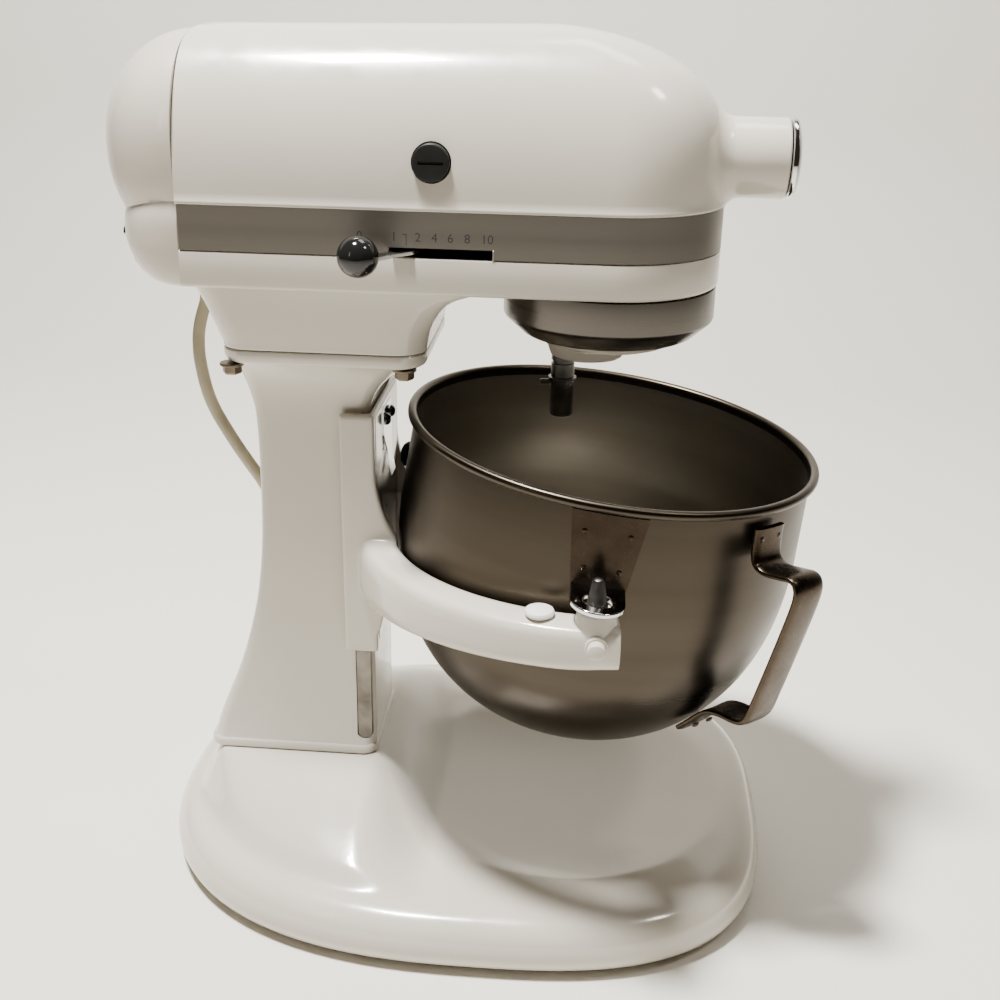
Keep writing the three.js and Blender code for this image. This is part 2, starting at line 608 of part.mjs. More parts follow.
// ---- Column ----------------------------------------------------------------
const COLUMN_PROFILE = [ // z, rear, front, half width, corner radius
  [COLUMN_FOOT_Z, -204.5, -113.5, 33.2, 8], [COLUMN_FOOT_Z + 4.5, -205, -113.2, 33.6, 8],
  [COLUMN_FOOT_Z + 5.5, -203.6, COLUMN_FRONT, 32.4, 7], [74, -200, COLUMN_FRONT, 31, 6.5],
  [90, -193.5, COLUMN_FRONT, COLUMN_HALF, 6], [108, -186.3, COLUMN_FRONT, COLUMN_HALF, 6],
  [128, -180.2, COLUMN_FRONT, COLUMN_HALF, 6], [150, -175.2, COLUMN_FRONT, COLUMN_HALF, 6],
  [180, -171.6, COLUMN_FRONT, COLUMN_HALF, 6], [220, -170.4, COLUMN_FRONT, COLUMN_HALF, 6],
  [248, -170.8, COLUMN_FRONT, COLUMN_HALF, 6], [260, -172.6, COLUMN_FRONT, COLUMN_HALF + 0.3, 6.5],
  [267, -175, -109.5, 32.5, 8], [272, -177, -102.5, 35.2, 10], [FLANGE_Z + 0.5, -178.6, -96.5, 39, 12],
];

function column() {
  const shaft = loft(COLUMN_PROFILE.map(([z, ...ring]) => roundedRing(z, ...ring)));
  const { rear, front, half, corner } = FLANGE;
  const edge = [
    [FLANGE_Z, 3.2], [FLANGE_Z + 1, 1.2], [FLANGE_Z + 3, 0.2], [FLANGE_Z + 4, 0], [NECK_SEAM_Z - GAP, 0],
  ];
  const flange = loft(edge.map(([z, inset]) => (
    roundedRing(z, rear + inset, front - inset, half - inset, corner - inset / 2))));
  const hollow = loft([[50, -196], [90, -186], [128, -173], [180, -165], [290, -165]]
    .map(([z, back]) => roundedRing(z, back, COLUMN_FRONT - 8, COLUMN_HALF - 7, 4)));
  const grooves = [-1, 1].map((side) => railBar(side, 0));
  const shaftHole = rod('y', [LIFT.x, 0, LIFT.z], 60, 6.3);
  const screwHoles = FLANGE_SCREWS.map(([x, y]) => rod('z', [x, y, FLANGE_Z - 3], 13, 2.8));
  return cut(join(shaft, flange), hollow, ...grooves, shaftHole, ...screwHoles);
}

// A guide rail lies in a groove with a round lower end on each side of the column
function railBar(side, slack) {
  const half = RAIL.width / 2 - slack;
  const bottom = RAIL.bottom + slack;
  const outline = new THREE.Shape();
  outline.moveTo(-half, RAIL.top - slack);
  outline.lineTo(-half, bottom + half);
  outline.absarc(0, bottom + half, half, Math.PI, 2 * Math.PI, false);
  outline.lineTo(half, RAIL.top - slack);
  const depth = RAIL.depth + (slack ? -slack : 4);
  const geometry = new THREE.ExtrudeGeometry(outline, { depth, bevelEnabled: false, curveSegments: 8 });
  geometry.rotateX(Math.PI / 2); // the outline now stands upright and the depth runs towards -Y
  const inner = COLUMN_HALF - RAIL.depth + slack;
  geometry.translate(RAIL.x, side < 0 ? -inner : inner + depth, 0);
  return solid(geometry);
}

function flangeScrew([x, y]) {
  const [seat, end] = [FLANGE_Z - 0.4, NECK_SEAM_Z + 6];
  const screw = turned([[0, seat - 6.1], [4.4, seat - 6.1], [5.2, seat - 4.6], [5.2, seat], [2.4, seat],
    [2.4, end], [0, end]], 10);
  return screw.translate([x, y, 0]);
}

// ---- Lift lever ------------------------------------------------------------
function liftLever() {
  const shaft = rod('y', [LIFT.x, 12, LIFT.z], LIFT.y - 8, 6);
  const crank = block(LIFT.x - 5, LIFT.x + 5, 11, 17, LIFT.z - 6, LIFT.z + 14);
  const bar = new THREE.Shape();
  bar.absarc(0, 0, 9, Math.PI, 2 * Math.PI, false);
  bar.lineTo(5.5, LIFT.length);
  bar.absarc(0, LIFT.length, 5.5, 0, Math.PI, false);
  const geometry = new THREE.ExtrudeGeometry(bar, { depth: 6, bevelEnabled: false, curveSegments: 10 });
  geometry.rotateX(Math.PI / 2).translate(LIFT.x, LIFT.y + 3, LIFT.z);
  const stud = rod('y', [LIFT.x, LIFT.y, LIFT.z + LIFT.length], 10, 2.5, 2.5, 16);
  return join(shaft, crank, solid(geometry), stud);
}

function liftKnob() {
  const knob = turned([[0, 0], [6, 0], [8.5, 2.5], [9.5, 10], [8.8, 20], [5.5, 25], [0, 26]], 16);
  const turnedKnob = knob.rotate([-90, 0, 0]).translate([LIFT.x, LIFT.y + 3.4, LIFT.z + LIFT.length]);
  return cut(turnedKnob, rod('y', [LIFT.x, LIFT.y, LIFT.z + LIFT.length], 11, 2.5 + GAP, 2.5 + GAP, 16));
}

// ---- Base ------------------------------------------------------------------
function basePoint(angle, inset) {
  const front = Math.cos(angle) >= 0;
  const power = front ? BASE.powerFront : BASE.powerRear;
  const reach = (front ? BASE.front : BASE.rear) - inset;
  return [BASE.middle + reach * superX(angle, power), (BASE.half - inset) * superY(angle, power)];
}

// Deck height: flat, with a dished bowl clearance and a crown that rises to the column's foot
function deckHeight(x, y, edge) {
  const dish = Math.max(0, 1 - ((x - DISH.x) ** 2 + y ** 2) / DISH.radius ** 2);
  const beyondX = Math.max(0, x - (COLUMN_FRONT + 1), -206 - x);
  const foot = Math.hypot(beyondX, Math.max(0, Math.abs(y) - 34));
  const near = edge / (edge + foot + 1e-6);
  const ahead = 1 - smooth(COLUMN_FRONT + 2, COLUMN_FRONT + 44, x);
  return DECK_Z - DISH.depth * dish + CROWN * (1 - (1 - near) ** 1.7) * ahead;
}

const EDGE_ROUND = [[4, 0], [0.6, 5], [0, 12], [1.6, 19], [5.5, 24], [11, 26]]; // inset, height

function baseSkin(sides, edge, bottom, drop) {
  const rings = [];
  const ringAt = (inset, height) => {
    const ring = [];
    for (let j = 0; j < sides; j += 1) {
      const angle = (j / sides) * 2 * Math.PI;
      const [x, y] = basePoint(angle, inset);
      ring.push(new THREE.Vector3(x, y, height(x, y)));
    }
    return ring;
  };
  for (const [inset, height] of edge) rings.push(ringAt(inset, () => bottom + height));
  const last = edge.at(-1)[0];
  for (const part of [0.07, 0.14, 0.26, 0.4, 0.56, 0.72, 0.86]) {
    const ring = [];
    for (let j = 0; j < sides; j += 1) {
      const [x0, y0] = basePoint((j / sides) * 2 * Math.PI, last);
      const x = x0 + (BASE_HUB_X - x0) * part;
      const y = y0 * (1 - part);
      const distance = Math.hypot(x0 - BASE_HUB_X, y0) * part;
      ring.push(new THREE.Vector3(x, y, deckHeight(x, y, distance) - drop));
    }
    rings.push(ring);
  }
  return loft(rings);
}
function base() {
  const outer = baseSkin(44, EDGE_ROUND, FOOT_HEIGHT, 0);
  const inner = baseSkin(20, [[12, 0], [12, 14], [15, 19]], FOOT_HEIGHT - 4, 7);
  const posts = FEET.map(([x, y]) => rod('z', [x, y, FOOT_HEIGHT], 16, 13, 13, 12));
  const pads = join(...posts).intersect(outer);
  const footHoles = FEET.map(([x, y]) => rod('z', [x, y, 0], 9, 4 + GAP, 4 + GAP, 12));
  return cut(join(cut(outer, inner), pads), ...footHoles);
}

function foot([x, y]) {
  const top = FOOT_HEIGHT - GAP;
  const pad = turned([[0, 0], [10, 0], [11.5, 1.2], [11.5, top], [4, top], [4, 8], [0, 8]], 12);
  return pad.translate([x, y, 0]);
}

// ---- Bowl support ----------------------------------------------------------
// Rounded section of an arm at one angle about the bowl; radius across, height up
function armSection(angle, inner, outer, bottom, top, corner) {
  const ring = [];
  const corners = [[outer - corner, top - corner], [inner + corner, top - corner],
    [inner + corner, bottom + corner], [outer - corner, bottom + corner]];
  corners.forEach(([r, z], quarter) => {
    for (let i = 0; i <= 2; i += 1) {
      const turn = ((quarter + i / 2) * Math.PI) / 2;
      const radius = r + corner * Math.cos(turn);
      const height = z + corner * Math.sin(turn);
      ring.push(new THREE.Vector3(ARM.x + radius * Math.cos(angle), radius * Math.sin(angle), height));
    }
  });
  return ring;
}

function arm(side) {
  const steps = 10;
  const start = THREE.MathUtils.degToRad(196.5);
  const finishAngle = THREE.MathUtils.degToRad(270) + Math.asin((ARM.end - ARM.x) / ARM.outer);
  const rings = [];
  for (let i = 0; i <= steps; i += 1) {
    const t = i / steps;
    const angle = start + (finishAngle - start) * t;
    const top = ARM.top - 4 * (1 - t) ** 2;
    const bottom = 169 - 15 * (1 - t) ** 2 + 1.5 * smooth(0.85, 1, t);
    rings.push(armSection(side * angle, ARM.inner, ARM.outer, bottom, top, 5));
  }
  return loft(rings);
}

function bowlSupport() {
  const back = block(COLUMN_FRONT + 0.6, YOKE.front, -YOKE.half, YOKE.half, YOKE.bottom, YOKE.top);
  const flanges = [-1, 1].map((side) => {
    const [low, high] = side < 0 ? [-YOKE.half, -YOKE.inner] : [YOKE.inner, YOKE.half];
    return block(YOKE.rear, YOKE.front, low, high, YOKE.bottom, YOKE.top);
  });
  const gussets = [-1, 1].map((side) => {
    const outline = [
      [YOKE.front - 1, 130], [YOKE.front - 1, 232], [-107.5, 206], [-101, 188], [-99, 166], [-104, 154],
    ];
    const web = new THREE.Shape(outline.map(([x, z]) => new THREE.Vector2(x, z)));
    const depth = YOKE.half - YOKE.inner;
    const geometry = new THREE.ExtrudeGeometry(web, { depth, bevelEnabled: false }).rotateX(Math.PI / 2);
    return solid(geometry.translate(0, side < 0 ? -YOKE.inner : YOKE.half, 0));
  });
  const pads = [-1, 1].map((side) => rod('z', [PIVOT.x, side * PIVOT.y, 186], ARM.pad - 186, 9.5, 9, 20));
  const body = join(back, ...flanges, arm(1), arm(-1), ...gussets, ...pads);
  const runway = block(-160, COLUMN_FRONT + 0.6, -YOKE.inner, YOKE.inner, 100, 270);
  const hole = (axis, place, r) => rod(axis, place, 20, r, r, 12);
  const pinHoles = [-1, 1].map((side) => hole('z', [PIVOT.x, side * PIVOT.y, 185], 2.8));
  const screwHoles = LATCH_SCREWS.map((y) => hole('x', [-120, y, LATCH_Z], 1.7));
  const studHoles = [-135, 120].map((y) => rod('y', [STUD.x, y, STUD.z], 15, 2.3, 2.3, 12));
  const bumperHoles = [-1, 1].map((side) => hole('z', [BUMPER.x, side * BUMPER.y, 180], 2.3));
  return cut(body, runway, ...pinHoles, ...screwHoles, ...studHoles, ...bumperHoles);
}
function locatingPin(side) {
  const top = ARM.pad;
  const pin = turned([
    [0, 186], [2.5, 186], [2.5, top + GAP], [4.7, top + GAP], [4.7, top + 3.5], [2.6, top + 14],
    [1.6, top + 15], [0, top + 15],
  ], 10);
  return pin.translate([PIVOT.x, side * PIVOT.y, 0]);
}

function pinStud(side) {
  const stud = turned([[0, 0], [2, 0], [2, 5.4], [4.2, 5.4], [4.2, 9.4], [3.4, 10.4], [0, 10.4]], 10);
  const face = Math.sqrt(ARM.outer ** 2 - (STUD.x - ARM.x) ** 2);
  return stud.rotate([side * -90, 0, 0]).translate([STUD.x, side * (face - 5), STUD.z]);
}

function armBumper(side) {
  const { top } = ARM;
  const bumper = turned([
    [0, 182], [2, 182], [2, top + 0.6], [6.3, top + 0.6], [6.6, top + 2.4], [5.6, top + 3.6], [0, top + 4],
  ], 10);
  return bumper.translate([BUMPER.x, side * BUMPER.y, 0]);
}

// A flat spring that hangs from two screws and leans out over the bowl's rear hook
function latchSpring() {
  const edge = [
    [-110.3, 247], [-110.3, 233], [-108.4, 213.4], [-107.6, 210], [-106.8, 210.2], [-107.4, 213.6],
    [-109.3, 233.2], [-109.3, 247],
  ];
  const shape = new THREE.Shape(edge.map(([x, z]) => new THREE.Vector2(x, z)));
  const geometry = new THREE.ExtrudeGeometry(shape, { depth: 24, bevelEnabled: false });
  geometry.rotateX(Math.PI / 2);
  const holes = LATCH_SCREWS.map((y) => rod('x', [-115, y, LATCH_Z], 10, 1.7, 1.7, 12));
  const taper = solid(geometry.translate(0, 12, 0));
  return cut(taper, ...holes);
}

function latchScrew(y) {
  const head = turnedAlongX([[0, 0], [3.1, 0], [3, 1.2], [1.6, 2.2], [0, 2.4]], [-109, y, LATCH_Z], 12);
  return join(rod('x', [-113.2, y, LATCH_Z], 5, 1.4, 1.4, 8), head);
}

// ---- Bowl, drawn about the centre of its rim and then tilted ------------------
function bowlWall(offset) {
  const points = [[BOWL.wallTop - offset, 0], [BOWL.wallMid - offset, -BOWL.midDepth]];
  const steps = 7;
  for (let i = 1; i < steps; i += 1) {
    const angle = (i / steps) * (Math.PI / 2);
    points.push([(BOWL.wallMid - offset) * superX(angle, BOWL.power),
      -BOWL.midDepth - (BOWL.depth - BOWL.midDepth - offset) * superY(angle, BOWL.power)]);
  }
  points.push([0, -BOWL.depth + offset]);
  return points;
}

// Everything inside the bowl's wall, with a clearance outside it
function bowlRoom() {
  return turned([[0, 6], [BOWL.wallTop + 2, 6], ...bowlWall(-GAP)], BOWL_SIDES);
}

function bowl() {
  const bead = [];
  for (let i = 0; i <= 5; i += 1) {
    const angle = Math.PI * (1 - i / 3);
    bead.push([BOWL.wallTop + 1.4 + RIM_BEAD * Math.cos(angle), RIM_BEAD * Math.sin(angle)]);
  }
  const inside = bowlWall(BOWL_WALL).reverse();
  return turned([...inside, ...bead, ...bowlWall(0).slice(1)], BOWL_SIDES);
}

// Wall radius at a depth below the rim
function wallRadius(depth) {
  const spread = BOWL.wallMid - BOWL.wallTop;
  if (depth < BOWL.midDepth) return BOWL.wallTop + (spread * depth) / BOWL.midDepth;
  const t = (depth - BOWL.midDepth) / (BOWL.depth - BOWL.midDepth);
  return BOWL.wallMid * (1 - t ** BOWL.power) ** (1 / BOWL.power);
}

// A strap bent from one flat strip along a line of [radius, height]
function strap(centreLine, thickness, width, angle) {
  const line = centreLine.map(([r, z]) => new THREE.Vector3(r, 0, z));
  const points = new THREE.CatmullRomCurve3(line, false, 'centripetal').getPoints(24);
  const side = (sign) => points.map((point, i) => {
    const next = points[Math.min(i + 1, points.length - 1)];
    const ahead = next.clone().sub(points[Math.max(i - 1, 0)]).normalize();
    const offset = (sign * thickness) / 2;
    return new THREE.Vector2(point.x - ahead.z * offset, point.z + ahead.x * offset);
  });
  const shape = new THREE.Shape([...side(1), ...side(-1).reverse()]);
  const geometry = new THREE.ExtrudeGeometry(shape, { depth: width, bevelEnabled: false });
  geometry.rotateX(Math.PI / 2).translate(0, width / 2, 0).rotateZ(angle);
  return solid(geometry);
}

const HANDLE_LINE = [ // radius, height about the rim, from the upper tab round to the lower tab
  [103.4, -8], [104.2, -19], [107.5, -24.6], [115, -25.4], [125, -22.5], [130.4, -24.5], [131.6, -31],
  [128.6, -55], [124.6, -80], [121.4, -96], [117, -101.2], [110, -103], [102, -104.6], [95.8, -108.6],
  [89.6, -116.6], [84.4, -124],
];

function handle() {
  return strap(HANDLE_LINE, STRAP.thickness, STRAP.width, HANDLE_ANGLE).subtract(bowlRoom());
}

// An upright plate on the bowl wall with a round-ended tongue that drops over the locating pin
function ear(side) {
  const level = -BOWL.rimHeight;
  const [wide, narrow] = [BOWL.wallTop + 3.2, wallRadius(36) + 2.2];
  const skin = turned([[0, -3.4], [wide, -3.4], [narrow, level - 1.2], [0, level - 1.2]], BOWL_SIDES);
  const slab = block(-EAR_HALF, EAR_HALF, 60, 140, level - 3, -3.4);
  const tongue = new THREE.Shape();
  tongue.moveTo(EAR_HALF, 96);
  tongue.lineTo(EAR_HALF, PIVOT.y);
  tongue.absarc(0, PIVOT.y, EAR_HALF, 0, Math.PI, false);
  tongue.lineTo(-EAR_HALF, 96);
  tongue.holes.push(new THREE.Path().absarc(0, PIVOT.y, 6.6, 0, 2 * Math.PI, true));
  const flat = plate(tongue, level - 1.2, level + 1.2);
  const far = cut(join(skin.intersect(slab), flat), bowlRoom());
  return side > 0 ? far : far.rotate([0, 0, 180]);
}

function rearHook() {
  const stub = turnedAlongX([[0, 0], [3.6, 0.6], [6.4, 3], [7, 5.5], [7, 9], [0, 9]], [0, 0, 0], 14);
  const depth = 29;
  return stub.translate([-wallRadius(depth) - 4.2, 0, -depth]).subtract(bowlRoom());
}

// ---- Cord ------------------------------------------------------------------
function tube(points, radius, sides, steps) {
  const line = points.map(([x, y, z]) => new THREE.Vector3(x, y, z));
  const extrudePath = new THREE.CatmullRomCurve3(line, false, 'centripetal');
  const shape = new THREE.Shape();
  shape.setFromPoints(Array.from({ length: sides }, (_, i) => {
    const angle = (i / sides) * 2 * Math.PI;
    return new THREE.Vector2(radius * Math.cos(angle), radius * Math.sin(angle));
  }));
  return solid(new THREE.ExtrudeGeometry(shape, { steps, bevelEnabled: false, extrudePath }));
}

// A tapered sleeve that snaps into the bottom of the rear cover and points down
function strainRelief() {
  const top = COVER_BOTTOM - GAP;
  const end = top - RELIEF.length;
  const profile = [[0, end], [4, end], [5, end + 2], [6.4, top - 2], [6.4, top], [4.2, top],
    [4.2, top + 7], [0, top + 7]];
  return turned(profile, 14).translate([RELIEF.x, RELIEF.y, 0]);
}

function cordCoil() {
  const half = COIL.columns * CORD_R;
  const height = COIL.layers * 2 * CORD_R;
  const soft = CORD_R / 2;
  const section = [[half, soft], [half - soft, 0], [soft - half, 0], [-half, soft], [-half, height - soft],
    [soft - half, height], [half - soft, height], [half, height - soft], [half, soft]];
  return turned(section.map(([r, z]) => [COIL.mean + r, z]), 24).translate([COIL.x, COIL.y, 0]);
}

// A plug body with two flat blades and an earth pin
function plug() {
  const sections = [[0, 7, 5], [4, 12, 8.6], [20, 13, 9], [26, 10, 7.5], [34, 5, 5]];
  const body = loft(sections.map(([x, wide, tall]) => {
    const ring = [];
    for (let j = 0; j < 12; j += 1) {
      const angle = (j / 12) * 2 * Math.PI;
      ring.push(new THREE.Vector3(-x, wide * superX(angle, 3), 9 + tall * superY(angle, 3)));
    }
    return ring;
  }));
  const blades = [-6.35, 6.35].map((y) => block(-1, 15.5, y - 0.8, y + 0.8, 9, 15));
  const earthPin = rod('x', [-1, 0, 4.5], 17, 2.4, 2.4, 12);
  return join(body, ...blades, earthPin).rotate([0, 0, PLUG.turn]).translate([PLUG.x, PLUG.y, 0]);
}
// ---- Assembly --------------------------------------------------------------
add('upper_housing', upperHousing(), ENAMEL);
add('lower_housing', lowerHousing(), ENAMEL);
add('rear_cover', rearCover(), COVER_ENAMEL);
add('rear_cover_screw', rearCoverScrew(), CHROME);
add('trim_band', trimBand(), BRUSHED);
add('drip_ring', dripRing(), CHROME);
add('ring_gear', ringGear(), CAST);
for (const [side, name] of [[-1, 'near'], [1, 'far']]) {
  add(`brush_cap_${name}`, brushCap(side), BLACK_MATT);
  add(`carbon_brush_${name}`, carbonBrush(side), DARK_STEEL);
}
add('stator', stator(), CAST);
add('armature', armature(), COPPER);
add('worm_wheel', wormWheel(), BRASS);
add('hub_drive', hubDrive(), STEEL);
add('hub_cap', hubCap(), CHROME);
add('thumb_screw', thumbScrew(), BLACK_GLOSS);
add('planetary', planetary(), ENAMEL);
add('centre_shaft', centreShaft(), STEEL);
add('beater_shaft', beaterShaft().translate([BEATER_X, 0, 0]), STEEL);
add('planet_pinion', planetPinion(), STEEL);
add('beater_pin', rod('x', [BEATER_X - SHAFT_R - 5.4, 0, 262.2], 8, 1.4, 1.4, 12), DARK_STEEL);

add('speed_lever', speedLever(), CHROME);
add('speed_knob', speedKnob(), BLACK_GLOSS);
add('column', column(), ENAMEL);
add('rail_near', railBar(-1, GAP), STEEL);
add('rail_far', railBar(1, GAP), STEEL);
FLANGE_SCREWS.forEach((place, i) => add(`flange_screw_${i + 1}`, flangeScrew(place), STEEL));
add('lift_lever', liftLever(), CHROME);
add('lift_knob', liftKnob(), BLACK_GLOSS);
add('base', base(), ENAMEL);
FEET.forEach((place, i) => add(`foot_${i + 1}`, foot(place), RUBBER));

add('bowl_support', bowlSupport(), ENAMEL);
add('latch_spring', latchSpring(), STEEL);
LATCH_SCREWS.forEach((y, i) => add(`latch_screw_${i + 1}`, latchScrew(y), BLACK_GLOSS));
for (const [side, name] of [[-1, 'near'], [1, 'far']]) {
  add(`locating_pin_${name}`, locatingPin(side), STEEL);
  add(`pin_stud_${name}`, pinStud(side), ENAMEL);
  add(`arm_bumper_${name}`, armBumper(side), NYLON);
}

const tilted = new THREE.Group();
const rimCentre = new THREE.Vector3(0, 0, BOWL.rimHeight);
rimCentre.applyAxisAngle(new THREE.Vector3(0, 1, 0), BOWL_TILT);
tilted.position.set(PIVOT.x, 0, PIVOT.z).add(rimCentre);
tilted.rotation.y = BOWL_TILT;
parts.add(tilted);
add('bowl', bowl(), BOWL_STEEL, tilted);
add('bowl_handle', handle(), BOWL_STEEL, tilted);
add('bowl_ear_near', ear(-1), CHROME, tilted);
add('bowl_ear_far', ear(1), CHROME, tilted);
add('bowl_rear_hook', rearHook(), BLACK_MATT, tilted);

// The box of everything but the free cord gives the origin
parts.updateMatrixWorld(true);
const box = new THREE.Box3().setFromObject(parts);

add('strain_relief', strainRelief(), BLACK_MATT);
add('cord', tube(CORD_ROUTE, CORD_R, 8, 38), CORD_VINYL);
add('cord_coil', cordCoil(), CORD_VINYL);
add('plug', plug(), BLACK_MATT);

const mixer = new THREE.Group();
parts.position.set(-(box.min.x + box.max.x) / 2, -(box.min.y + box.max.y) / 2, 0);
mixer.add(parts);

export default mixer;
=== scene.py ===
"""Looks of the bowl-lift stand mixer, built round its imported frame.

Shapes are given in millimetres about the planetary axis (x = 0, y = 0), with the table at z = 0
and the nose towards +x. place() turns such points into the frame's metres.
"""
import math

import bmesh
import bpy
import numpy as np
from mathutils import Matrix, Vector


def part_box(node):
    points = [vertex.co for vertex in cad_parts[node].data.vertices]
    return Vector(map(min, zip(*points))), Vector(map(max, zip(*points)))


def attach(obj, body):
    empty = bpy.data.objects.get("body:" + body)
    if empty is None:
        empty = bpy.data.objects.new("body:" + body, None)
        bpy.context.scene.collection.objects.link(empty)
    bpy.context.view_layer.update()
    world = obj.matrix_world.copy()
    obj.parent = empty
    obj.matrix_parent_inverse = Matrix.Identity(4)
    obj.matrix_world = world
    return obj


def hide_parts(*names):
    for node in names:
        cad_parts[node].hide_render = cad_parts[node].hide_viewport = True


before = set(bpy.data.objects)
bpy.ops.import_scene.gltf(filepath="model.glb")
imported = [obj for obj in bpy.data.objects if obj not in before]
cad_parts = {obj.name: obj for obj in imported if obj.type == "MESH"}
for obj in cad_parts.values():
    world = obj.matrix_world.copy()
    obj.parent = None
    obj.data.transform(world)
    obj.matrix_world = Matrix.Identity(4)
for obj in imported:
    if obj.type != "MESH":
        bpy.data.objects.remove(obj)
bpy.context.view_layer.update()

MM = 0.001
AXIS_X = sum(corner.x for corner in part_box("planetary")) / 2

# Head
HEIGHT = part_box("upper_housing")[1].z / MM
HALF = 51.7
SEAM_X = -195
PART_Z = 343
BAND_TOP = 352.6
BAND_BOTTOM = 332.3
RECESS = 1.2
HEAD_BOTTOM = 315
HUB_Z = 373.7
HUB_R = 18.3
HUB_END = 78.5
ARCH = 2.2
SLOT = (-99, -52, BAND_BOTTOM - 0.2, 336.7)
BRUSH_X = -80
THUMB_X = 68

# Neck, column and base
SEAM_Z = 285
FLANGE = (-182, -84.3, 46.5, 14)
COLUMN_FRONT = -114
COLUMN_HALF = 30.5
COLUMN_FOOT = 57.8
RAIL_X = -119.3
SCREW_TOP = 277.3
SCREWS = [(-177, -40), (-177, 40), (-94.5, -38.5), (-94.5, 38.5)]
BASE_MIDDLE, BASE_FRONT, BASE_REAR, BASE_HALF = -60, 157, 168, 131.5
DISH_X, DISH_R, DISH_DEPTH = -12, 88.7, 11.5
DECK, CROWN = 29, 28.4

# Bowl and its support
ARM_X, ARM_INNER, ARM_OUTER, ARM_END, ARM_TOP, PAD_TOP = 4, 107.8, 128.5, 12, 190.5, 196
STUD_X, STUD_Z = 1.5, 183
BUMPER_X, BUMPER_Y = -24, 115
CHANNEL_INNER, CHANNEL_OUTER, CHANNEL_Z = 31.6, 36.8, (123, 252)
LATCH_SCREW_Y, LATCH_SCREW_Z = 6.75, 241
PIVOT = (1, 117.5, 199)
TILT = math.radians(6.9)
RIM_ABOVE_PIVOT = 38
WALL_TOP, WALL_MID, MID_DEPTH, BOWL_DEPTH, BOWL_POWER = 100.3, 102.4, 47, 160.2, 2.3
BOWL_WALL = 1.2
BEAD = 2.3
HANDLE_TURN = math.radians(-45)

# Beater shaft and speed lever
BEATER_X = -21
SHAFT_R = 5.8
KNOB, KNOB_R = (-108.6, -74, 336.5), 9.1
LEVER_PIVOT = (-70, -19, 334.6)


def circle(count):
    return np.arange(count) / count * 2 * math.pi


def add_object(name, data):
    item = bpy.data.objects.new(name, data)
    bpy.context.scene.collection.objects.link(item)
    return item


# ---- Camera -----------------------------------------------------------------
CAMERA_AT = (-4.3, -607.7, 445.6)
CAMERA_TURN = (4.4, 22.2, 1.1)
CAMERA_LENS = 45.44


def camera():
    """Looks along +Y with CAMERA_TURN as yaw to the left, pitch down and roll, in degrees."""
    position = Vector((AXIS_X + CAMERA_AT[0] * MM, CAMERA_AT[1] * MM, CAMERA_AT[2] * MM))
    yaw, pitch, roll = (math.radians(a) for a in CAMERA_TURN)
    forward = Vector((-math.sin(yaw) * math.cos(pitch), math.cos(yaw) * math.cos(pitch), -math.sin(pitch)))
    right = Vector((math.cos(yaw), math.sin(yaw), 0))
    up = right.cross(forward)
    side = right * math.cos(roll) + up * math.sin(roll)
    top = up * math.cos(roll) - right * math.sin(roll)
    data = bpy.data.cameras.new("camera")
    data.lens = CAMERA_LENS
    data.sensor_width = 36
    data.clip_start = 0.01
    eye = add_object("camera", data)
    eye.matrix_world = Matrix.Translation(position) @ Matrix((side, top, -forward)).transposed().to_4x4()
    bpy.context.scene.camera = eye


camera()


# ---- Mesh helpers -----------------------------------------------------------
def place(points):
    """Turns millimetres about the planetary axis into the frame's metres."""
    return np.asarray(points, float) * MM + (AXIS_X, 0, 0)


def build(name, points, faces, material, sharp=32):
    mesh = bpy.data.meshes.new(name)
    mesh.from_pydata(place(points).tolist(), [], faces)
    solid = bmesh.new()
    solid.from_mesh(mesh)
    bmesh.ops.remove_doubles(solid, verts=solid.verts, dist=1e-6)
    bmesh.ops.recalc_face_normals(solid, faces=solid.faces)
    solid.to_mesh(mesh)
    solid.free()
    piece = add_object(name, mesh)
    mesh.materials.append(material)
    shade(piece, sharp)
    return piece


def shade(piece, sharp=32):
    piece.data.shade_smooth()
    piece.data.set_sharp_from_angle(angle=math.radians(sharp))


def loft(name, rings, material, sharp=32, around=True):
    """A skin through rings of equal point counts. Its two ends are closed; around=False leaves them open."""
    rings = np.asarray(rings, float)
    count = rings.shape[1]
    faces = []
    for i in range(len(rings) - 1):
        for j in range(count):
            k = (j + 1) % count
            faces.append((i * count + j, i * count + k, (i + 1) * count + k, (i + 1) * count + j))
    if around:
        faces.append(tuple(range(count)))
        faces.append(tuple(range((len(rings) - 1) * count, len(rings) * count)))
    return build(name, rings.reshape(-1, 3), faces, material, sharp)


def turned(name, profile, material, centre=(0, 0, 0), axis="z", sides=96, sharp=32, closed=False):
    """Turns (radius, height) points round an axis through centre; closed joins the last point to the first."""
    rings = []
    for radius, height in list(profile) + ([profile[0]] if closed else []):
        angles = circle(sides)
        a, b, c = radius * np.cos(angles), radius * np.sin(angles), np.full(sides, float(height))
        order = {"z": (a, b, c), "x": (c, a, b), "y": (b, c, a)}[axis]
        rings.append(np.stack(order, 1) + centre)
    ends = not closed and (profile[0][0] > 0 or profile[-1][0] > 0)
    return loft(name, rings, material, sharp, around=ends)


def spline(points, steps=8):
    """A smooth curve through points of any dimension, as Catmull-Rom pieces."""
    p = np.asarray(points, float)
    p = np.vstack([2 * p[0] - p[1], p, 2 * p[-1] - p[-2]])
    result = []
    for i in range(1, len(p) - 2):
        for t in np.arange(steps) / steps:
            result.append(0.5 * (2 * p[i] + (p[i + 1] - p[i - 1]) * t
                                 + (2 * p[i - 1] - 5 * p[i] + 4 * p[i + 1] - p[i + 2]) * t ** 2
                                 + (3 * p[i] - p[i - 1] - 3 * p[i + 1] + p[i + 2]) * t ** 3))
    result.append(p[-2])
    return np.array(result)


